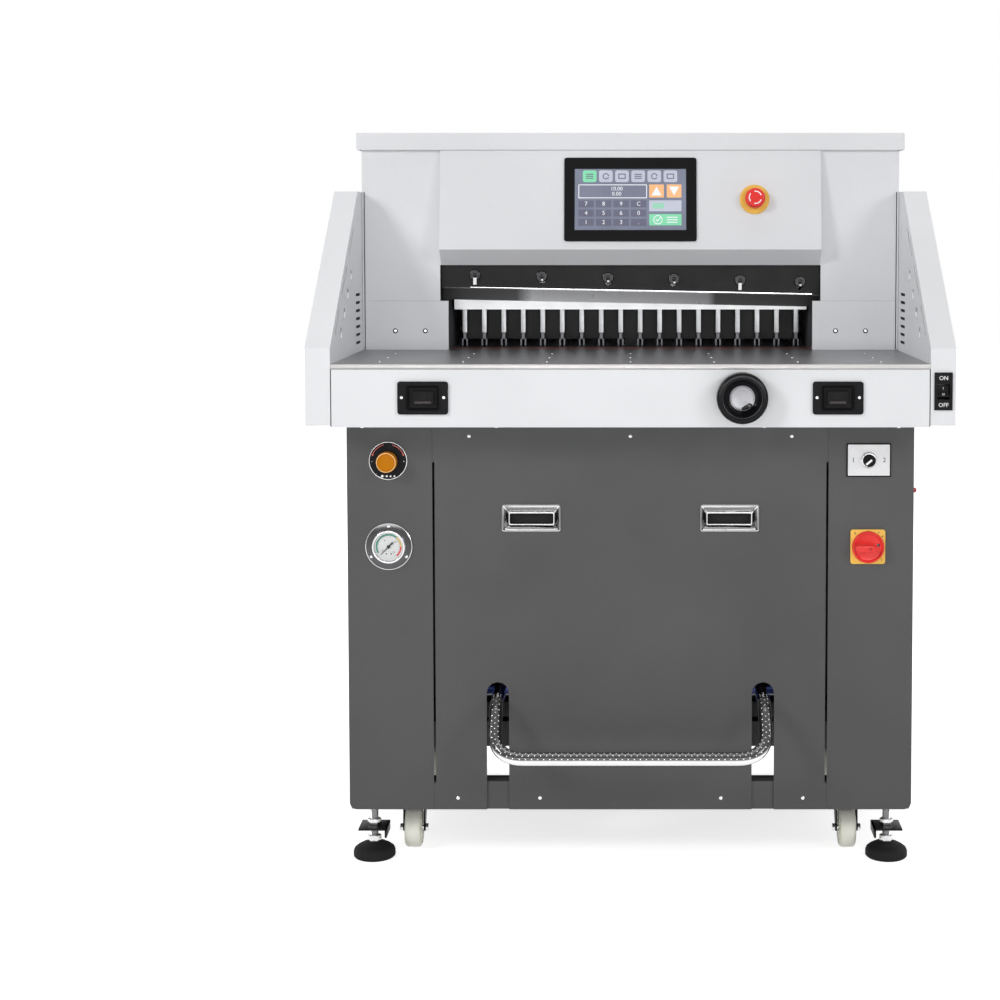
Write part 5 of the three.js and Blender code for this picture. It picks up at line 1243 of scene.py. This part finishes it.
def levelling_foot(end, side):
    node = f"{end}_{side}_foot"
    low, high = extent(node)
    x, y = middle(node).xy
    place = upright_plane(x, y)
    radius = (high.x - low.x) / 2
    pad = [(0, 0), (radius - 3, 0), (radius, 3), (radius, PAD_HEIGHT - 8), (radius - 2, PAD_HEIGHT - 3),
           (radius - 7, PAD_HEIGHT + 1), (24, PAD_HEIGHT + 6), (15, CONE_TOP - 1), (14, CONE_TOP),
           (0, CONE_TOP)]
    turned_piece(f"{node}_pad", place, pad, "rubber", replaced=[node], rounding=0.8)
    root = STUD_RADIUS - THREAD_DEPTH
    thread = [(0, CONE_TOP)]
    for i in range(int((high.z - CONE_TOP) / THREAD_PITCH)):
        start = CONE_TOP + i * THREAD_PITCH
        thread += [(root, start), (STUD_RADIUS, start + THREAD_PITCH / 2)]
    thread += [(root, high.z), (0, high.z)]
    turned_piece(f"{node}_stud", place, thread, "chrome_painted_highlight", steps=SMALL_STEPS, slot="bright_steel")
    nut, nut_height = FOOT_NUT
    bottom, thickness, half, length, fold = FOOT_PLATE
    top = bottom + thickness
    nuts, bracket = bmesh.new(), bmesh.new()
    for height in (CONE_TOP, top):
        prism(nuts, place, circle(nut, 6), height + 0.1, height + nut_height)
    piece(f"{node}_nuts", nuts, "chrome_painted_highlight", rounding=0.9)
    way = 1 if end == "front" else -1
    inward = 1 if side == "left" else -1
    near, far = sorted((way * (half - length), way * half))
    lip = sorted((inward * (half - thickness), inward * half))
    block(bracket, (x - half, y + near, bottom), (x + half, y + far, top))
    block(bracket, (x + lip[0], y + near, bottom - fold), (x + lip[1], y + far, top))
    piece(f"{node}_bracket", bracket, "dark_steel", rounding=0.7)


# Casters

CASTER_TRAIL = 22
FORK_INNER = 18.5
FORK_OUTER = 21.5
FORK_PLATE = (90.7, 96.7)
FORK_HEAD = 24
AXLE = (4, 7, 6)


def caster_fork(label, trail):
    node = f"{label}_caster_fork"
    wheel = middle(f"{label}_caster_wheel")
    x, pin_y = wheel.x, wheel.y - trail
    low, high = FORK_PLATE
    arms, neck, axle = bmesh.new(), bmesh.new(), bmesh.new()
    block(arms, (x - FORK_OUTER, pin_y - FORK_HEAD, low), (x + FORK_OUTER, pin_y + FORK_HEAD, high))
    arm = arc((trail, wheel.z), 8, 180, 360) + [(FORK_HEAD, high), (-FORK_HEAD, high)]
    for start, end in ((FORK_INNER, FORK_OUTER), (-FORK_OUTER, -FORK_INNER)):
        prism(arms, side_plane((x, pin_y, 0)), arm, start, end)
    piece(f"{node}_arms", arms, "dark_steel", node, [node], 0.6)
    ceiling = extent("front_panel")[0].z - GAP
    tip = extent(node)[1].z
    outline = [(0, high), (19, high), (19, high + 3), (14, high + 4.5), (14, ceiling), (6, ceiling), (6, tip),
               (0, tip)]
    turned(neck, upright_plane(x, pin_y), outline, SMALL_STEPS)
    piece(f"{node}_neck", neck, "bright_steel", node, rounding=0.4)
    radius, nut, nut_height = AXLE
    place = side_plane(wheel)
    turned(axle, place, rectangle(0, radius, -FORK_OUTER, FORK_OUTER), SMALL_STEPS)
    for start in (-FORK_OUTER - nut_height, FORK_OUTER):
        prism(axle, place, circle(nut, 6), start, start + nut_height)
    piece(f"{node}_axle", axle, "chrome_painted_highlight", node, rounding=0.5)


def caster_wheel(label):
    node = f"{label}_caster_wheel"
    place = side_plane(middle(node))
    edge, radius = (size(node) / 2).xz
    hub, bore, inset, shoulder = radius * 0.4, 4.3, 3, 6
    web = radius - shoulder
    half = [(bore, -edge), (hub, -edge), (hub, inset - edge), (web, inset - edge), (web, -edge),
            (radius - 2, shoulder * 0.35 - edge), (radius, shoulder - edge)]
    outline = half + [(r, -out) for r, out in half[::-1]]
    turned_piece(f"{node}_tread", place, outline, "nylon", node, [node], 0.6)
    ribs = bmesh.new()
    rib = oblong(web - hub + 1, 2.4, 0.5, 2)
    for i in range(6):
        spot = moved(rotated(place, 60 * i), (hub + web) / 2)
        for side in (-1, 1):
            prism(ribs, spot, rib, *sorted((side * (edge - inset - 0.3), side * (edge - 0.8))))
    piece(f"{node}_ribs", ribs, "nylon", node)


# Throat: bolts of the tilted knife beam, a painted highlight along its ground lower edge, faces of the back
# gauge's fingers

BEAM_PIN = (-440, 1115)
BEAM_TILT = math.radians(1.15)
BEAM_EDGE = (-327, 371, 29, 1.5)
BOLT_PLACES = (-317, -181, -46, 89, 224, 346)
BOLT_DROP = 4
BOLT_HEAD = (11.5, 7)
BOLT_SOCKET = 5.5
BOLT_PEGS = (0, 4)
FINGER_COUNT = 18
FINGER_PITCH = 41
FINGER_BAR = (9.4, 985, 1089)
FORK_ROOT = 972
FORK_LEGS = (-4.5, 4.5)


def beam_place(x, drop):
    """A plane on the front of the tilted knife beam, x across the machine."""
    pin_x, pin_z = BEAM_PIN
    origin = (x, extent("knife_beam")[0].y, pin_z - math.tan(BEAM_TILT) * (x - pin_x) - drop)
    right = Vector((math.cos(BEAM_TILT), 0, -math.sin(BEAM_TILT)))
    return plane(origin, right, right.cross(Y_AXIS))


def knife_bolts():
    """Socket screws. Lighter rings on the rim and the socket's edge are painted highlights; below each head a
    bright peg, or a bright drop that is a painted glint, is drawn in flat white, a painted highlight on
    chrome.
    """
    radius, height = BOLT_HEAD
    chamfer = radius - 2.2
    head = [(0, GAP), (radius, GAP), (radius, height * 0.5), (radius - 1.6, height * 0.6), (chamfer, height),
            (BOLT_SOCKET, height), (BOLT_SOCKET - 1, height * 0.4), (0, height * 0.35)]
    heads, rings, bright = bmesh.new(), bmesh.new(), bmesh.new()
    for number, x in enumerate(BOLT_PLACES):
        place = beam_place(x, BOLT_DROP)
        turned(heads, place, head)
        # Painted highlight rings on the chamfer and the socket's edge
        for ring in (chamfer, BOLT_SOCKET):
            turned(rings, place, rectangle(ring - 0.35, ring + 0.1, height, height + 0.25))
        if number in BOLT_PEGS:
            prism(bright, moved(place, 0, -radius - 1), oblong(6.4, 14, 1, 4), GAP, height + 0.6)
        else:
            # A painted glint
            drop = [(2.4, height - 1), (2, height + 0.4), (0, height + 0.8)]
            turned(bright, moved(place, 1, -radius * 0.62), drop, 16)
    piece("knife_bolt_heads", heads, "gloss_black", "knife_beam", slot="dark_steel")
    piece("knife_bolt_highlight_rings", rings, "fork_steel", "knife_beam")
    piece("knife_bolt_pegs_and_glints", bright, "white_plastic", "knife_beam", slot="chrome")


def beam_edge():
    left, right, drop, height = BEAM_EDGE
    length = (right - left) / math.cos(BEAM_TILT)
    outline = [(0, -height * 0.2), (length, -height / 2), (length, height / 2), (0, height * 0.2)]
    # A bright strip along the beam's lower edge: a painted highlight.
    plate_piece("knife_beam_edge_highlight", beam_place(left, drop), outline, FILM, 0.6, "chrome_painted_highlight", "knife_beam",
                slot="bright_steel")


def finger_faces():
    width, low, high = FINGER_BAR
    front = extent("back_gauge")[0].y
    bars, forks = bmesh.new(), bmesh.new()
    for i in range(FINGER_COUNT):
        place = front_plane((i - (FINGER_COUNT - 1) / 2) * FINGER_PITCH, front, 0)
        prism(bars, moved(place, 0, (low + high) / 2), oblong(width, high - low, 1, 3), FILM, 0.5)
        prism(forks, place, [(-3, low - 1), (-3, FORK_ROOT), (3, FORK_ROOT), (3, low - 1)], FILM, 0.4)
        for leg in FORK_LEGS:
            prism(forks, moved(place, leg, FORK_ROOT - 7), oblong(3, 14, 0.8, 2), FILM, 0.4)
    piece("finger_faces", bars, "silver_metal", "back_gauge", rounding=0.2)
    piece("finger_forks", forks, "fork_steel", "back_gauge")


# Cover screws

PANEL_SCREWS = ((-302, 815), (0, 815), (302, 815), (-326, 127), (-171, 127), (171, 127), (326, 127))
CHEEK_SCREWS = (418, 479)
CHEEK_SCREW_HEIGHT = 995
SKIRT_SCREWS = (-488, -244, 244, 488)
WASHER = (2.6, 5, 0, 0.5)


def cover_screws():
    for number, (x, z) in enumerate(PANEL_SCREWS, start=1):
        dome_screw(f"panel_screw_{number}", front_plane(x, FACE_Y, z), 3.8, 2.2)
    cheek_y = extent("left_cheek_cover")[0].y
    for x in CHEEK_SCREWS:
        for name, side in (("left", -1), ("right", 1)):
            place = front_plane(side * x, cheek_y, CHEEK_SCREW_HEIGHT)
            turned_piece(f"{name}_cheek_washer_{x}", place, rectangle(*WASHER), "rubber", steps=SMALL_STEPS,
                         slot="dark_steel")
            dome_screw(f"{name}_cheek_screw_{x}", moved(place, out=WASHER[3]), 3.6, 2.2)
    bottom = extent("table_skirt")[0].z
    for x in SKIRT_SCREWS:
        place = plane((x, SKIRT_Y + 7, bottom), X_AXIS, -Y_AXIS)
        dome_screw(f"skirt_screw_{x}".replace("-", "m"), place, 4, 2.4)


# Table: its ground front edge and the balls in its air holes

TABLE_EDGE = (7.4, 0.4)
AIR_HOLES = (7, 154.5, (-538, -422, -304))
AIR_BALL = 3.6
BALL_RISE = 1.2


def table_edge():
    low, high = extent("table")
    height, thickness = TABLE_EDGE
    plate_piece("table_edge", front_plane(0, low.y, high.z - height / 2 - 0.5),
                oblong(high.x - low.x - 1, height, 0.5, 2), FILM, thickness, "edge_steel", rounding=0.15)


def air_balls():
    count, pitch, rows = AIR_HOLES
    z = extent("table")[1].z - AIR_BALL + BALL_RISE
    balls = bmesh.new()
    sphere = [(0, -AIR_BALL)] + arc((0, 0), AIR_BALL, -72, 72, 8) + [(0, AIR_BALL)]
    for i in range(count):
        for y in rows:
            turned(balls, upright_plane((i - (count - 1) / 2) * pitch, y, z), sphere, 20)
    piece("air_balls", balls, "chrome_painted_highlight")


# Wings: lenses in the light curtain windows, a black sheet behind the slots that stands for the shade inside,
# and the rear ends

WING_SHOULDER = 985
WING_SLOPE_DEPTH = 356
WINDOW_COUNT = 4
WINDOW_START = 115
WINDOW_PITCH = 56
WINDOW_INSET = 67
LINING_INSET = 8
WING_END = (2.6, 3, 1.2)
LENS = ((0, -3.5), (12.4, -3.5), (12.4, 0), (10, 0), (9, -1.4), (5, -0.6), (0, -0.3))


def wing_details(side):
    low, high = extent(f"{side}_wing")
    inner, way = (high.x, 1) if side == "left" else (low.x, -1)
    place = plane((inner, 0, 0), Y_AXIS * way, Z_AXIS)
    slope = Vector((WING_SLOPE_DEPTH, high.z - WING_SHOULDER)).normalized()
    edge = LINING_INSET
    left, right, bottom, top = low.y + edge, high.y - edge, low.z + edge, high.z - edge
    outline = [(left, bottom), (right, bottom), (right, top), (low.y + WING_SLOPE_DEPTH + edge / 2, top),
               (left, WING_SHOULDER - edge / 2)]
    # A black sheet inside the wing, behind its slots: painted shade.
    plate_piece(f"{side}_wing_shade_lining", place, [(y * way, z) for y, z in outline], -6, -4, "rubber")
    lenses = bmesh.new()
    for i in range(WINDOW_COUNT):
        along = WINDOW_START + i * WINDOW_PITCH
        y = low.y + along * slope.x + WINDOW_INSET * slope.y
        z = WING_SHOULDER + along * slope.y - WINDOW_INSET * slope.x
        turned(lenses, moved(place, y * way, z), LENS, SMALL_STEPS)
    piece(f"{side}_curtain_lenses", lenses, "chrome_painted_highlight")
    inset, depth, thickness = WING_END
    at, whole = middle(f"{side}_wing"), size(f"{side}_wing")
    rear = plane((at.x, high.y - depth, at.z), -X_AXIS, Z_AXIS)
    plate_piece(f"{side}_wing_end", rear, oblong(whole.x - 2 * inset, whole.z - 2 * inset, 1, 2), 0,
                thickness, "white_paint", rounding=0.3)


# Dark gaps at the joins of wing, skirt and housing, a painted shadow line between table and skirt, and the
# wings' pale folds beside them

SEAM = 1.4
WING_JOINT = (4.6, 1.6, 1, 0.3, 1)
WING_FOLD = (2.2, 3, 2, 0.8, 3)


def seams():
    (low, high), table = extent("table_skirt"), extent("table")[1]
    housing_y, wing_top = extent("upper_housing")[0].y, extent("left_wing")[1].z
    bottom = table.z + 1
    dark_joints_and_shadow_line, folds = bmesh.new(), bmesh.new()
    for side in (-1, 1):
        prism(dark_joints_and_shadow_line, front_plane(side * (high.x - SEAM / 2), low.y, (low.z + high.z) / 2),
              oblong(SEAM, high.z - low.z, 0.2, 1), FILM, GAP)
        for bm, (inset, width, out, radius, steps) in ((dark_joints_and_shadow_line, WING_JOINT), (folds, WING_FOLD)):
            prism(bm, front_plane(side * (high.x - inset), housing_y, (bottom + wing_top) / 2),
                  oblong(width, wing_top - bottom, radius, steps), FILM, out)
    # A dark strip between the table and the skirt: a painted shadow line.
    prism(dark_joints_and_shadow_line, front_plane(0, extent("table")[0].y, high.z), oblong(2 * table.x - 4, SEAM, 0.2, 1), FILM,
          GAP)
    piece("seams", dark_joints_and_shadow_line, "rubber")
    piece("wing_folds", folds, "white_paint", rounding=0.4)


# Camera, lamps, floor and background, in metres

FRONT_Y = -0.6
CAMERA_DISTANCE = 3.328
CAMERA_HEIGHT = 1.1932
CAMERA_PITCH = math.radians(3.316)
CAMERA_LENS = 66.2
CAMERA_SHIFT = (-0.1304, -0.16)
FLOOR_SIZE = 30.0
FLOOR_GLOW = 0.72
FLOOR_NEAR = 0.9
FLOOR_FAR = 2.6
WORLD_LIGHT = 0.26
LAMP_SIZE = 2.6


def add_camera():
    data = bpy.data.cameras.new("camera")
    data.lens = CAMERA_LENS
    data.shift_x, data.shift_y = CAMERA_SHIFT
    camera = bpy.data.objects.new("camera", data)
    camera.location = (0, FRONT_Y - CAMERA_DISTANCE, CAMERA_HEIGHT)
    camera.rotation_euler = (math.pi / 2 - CAMERA_PITCH, 0, 0)
    bpy.context.collection.objects.link(camera)
    bpy.context.scene.camera = camera


def add_light(name, place, target, power, width, height):
    data = bpy.data.lights.new(name, "AREA")
    data.energy = power
    data.shape = "RECTANGLE"
    data.size, data.size_y = width, height
    light = bpy.data.objects.new(name, data)
    light.location = place
    light.rotation_euler = (Vector(target) - Vector(place)).to_track_quat("-Z", "Y").to_euler()
    bpy.context.collection.objects.link(light)


def seen_share(tree):
    """1 for what the camera, mirrors and glass see, 0 for the light that falls on the object."""
    share = tree.add("LightPath", "Is Camera Ray")
    path = share.node
    for name in ("Is Glossy Ray", "Is Transmission Ray"):
        share = tree.add("Math", 0, (share, path.outputs[name]), operation="MAXIMUM")
    return share


def add_floor():
    bm = bmesh.new()
    bmesh.ops.create_grid(bm, x_segments=2, y_segments=2, size=FLOOR_SIZE / 2)
    mesh = bpy.data.meshes.new("floor")
    bm.to_mesh(mesh)
    bm.free()
    material = bpy.data.materials.new("floor")
    tree = Tree(material)
    distance = tree.add("VectorMath", "Value", [tree.add("TexCoord", "Object")], operation="LENGTH")
    far_share = tree.map_range(distance, FLOOR_NEAR, FLOOR_FAR, 0, 1)
    glow = tree.map_range(far_share, 0, 1, FLOOR_GLOW, 1)
    strength = tree.add("Math", 0, (seen_share(tree), glow), operation="MULTIPLY")
    tree.fill(tree.nodes["Principled BSDF"], {
        "Base Color": (0.82, 0.82, 0.82, 1), "Roughness": 0.9, "Emission Color": (1, 1, 1, 1),
        "Emission Strength": strength})
    mesh.materials.append(material)
    floor = bpy.data.objects.new("floor", mesh)
    bpy.context.collection.objects.link(floor)


def add_world():
    world = bpy.data.worlds.new("studio")
    bpy.context.scene.world = world
    tree = Tree(world)
    strength = tree.map_range(seen_share(tree), 0, 1, WORLD_LIGHT, 1)
    tree.fill(tree.nodes["Background"], {"Color": (1, 1, 1, 1), "Strength": strength})


def add_stage():
    bpy.context.scene.view_settings.view_transform = "Standard"
    add_camera()
    add_floor()
    add_world()
    add_light("key", (-3.0, -3.2, 2.7), (0, -0.2, 0.9), 62, 1.1, 1.1)
    add_light("fill", (2.9, -3.3, 2.2), (0, -0.2, 0.9), 36, 1.4, 1.2)
    add_light("top", (0, 0.2, 3.6), (0, 0, 1), 25, LAMP_SIZE, LAMP_SIZE)
    add_light("low", (0, -3.2, 0.95), (0, -0.2, 1.1), 19, LAMP_SIZE, 0.3)
    add_light("back", (0, 3.8, 2.2), (0, 0.3, 0.9), 46, LAMP_SIZE, 1.6)
    for side in (-1, 1):
        add_light(f"side_{side}", (side * 3.6, 0.9, 1.8), (side * 0.5, 0.1, 0.8), 26, 1.6, 1.6)


# Everything together

def main():
    make_materials()
    dress_frame()
    add_stage()
    for build in (pressure_dial, pressure_knob, gauge_case, gauge_face, gauge_needle, selector, selector_knob,
                  main_switch, main_switch_handle, side_button):
        build()
    for side in SIDES:
        button_plate(side)
        cut_button(side)
    for build in (handwheel, rocker_plate, rocker_key, emergency_stop, touch_bezel, screen_picture):
        build()
    for side in SIDES:
        flush_handle(side)
    pedal()
    for side in SIDES:
        for end, trail in (("front", -CASTER_TRAIL), ("rear", CASTER_TRAIL)):
            levelling_foot(end, side)
            caster_fork(f"{end}_{side}", trail)
            caster_wheel(f"{end}_{side}")
    for build in (knife_bolts, beam_edge, finger_faces, cover_screws, table_edge, air_balls):
        build()
    for side in SIDES:
        wing_details(side)
    seams()


main()
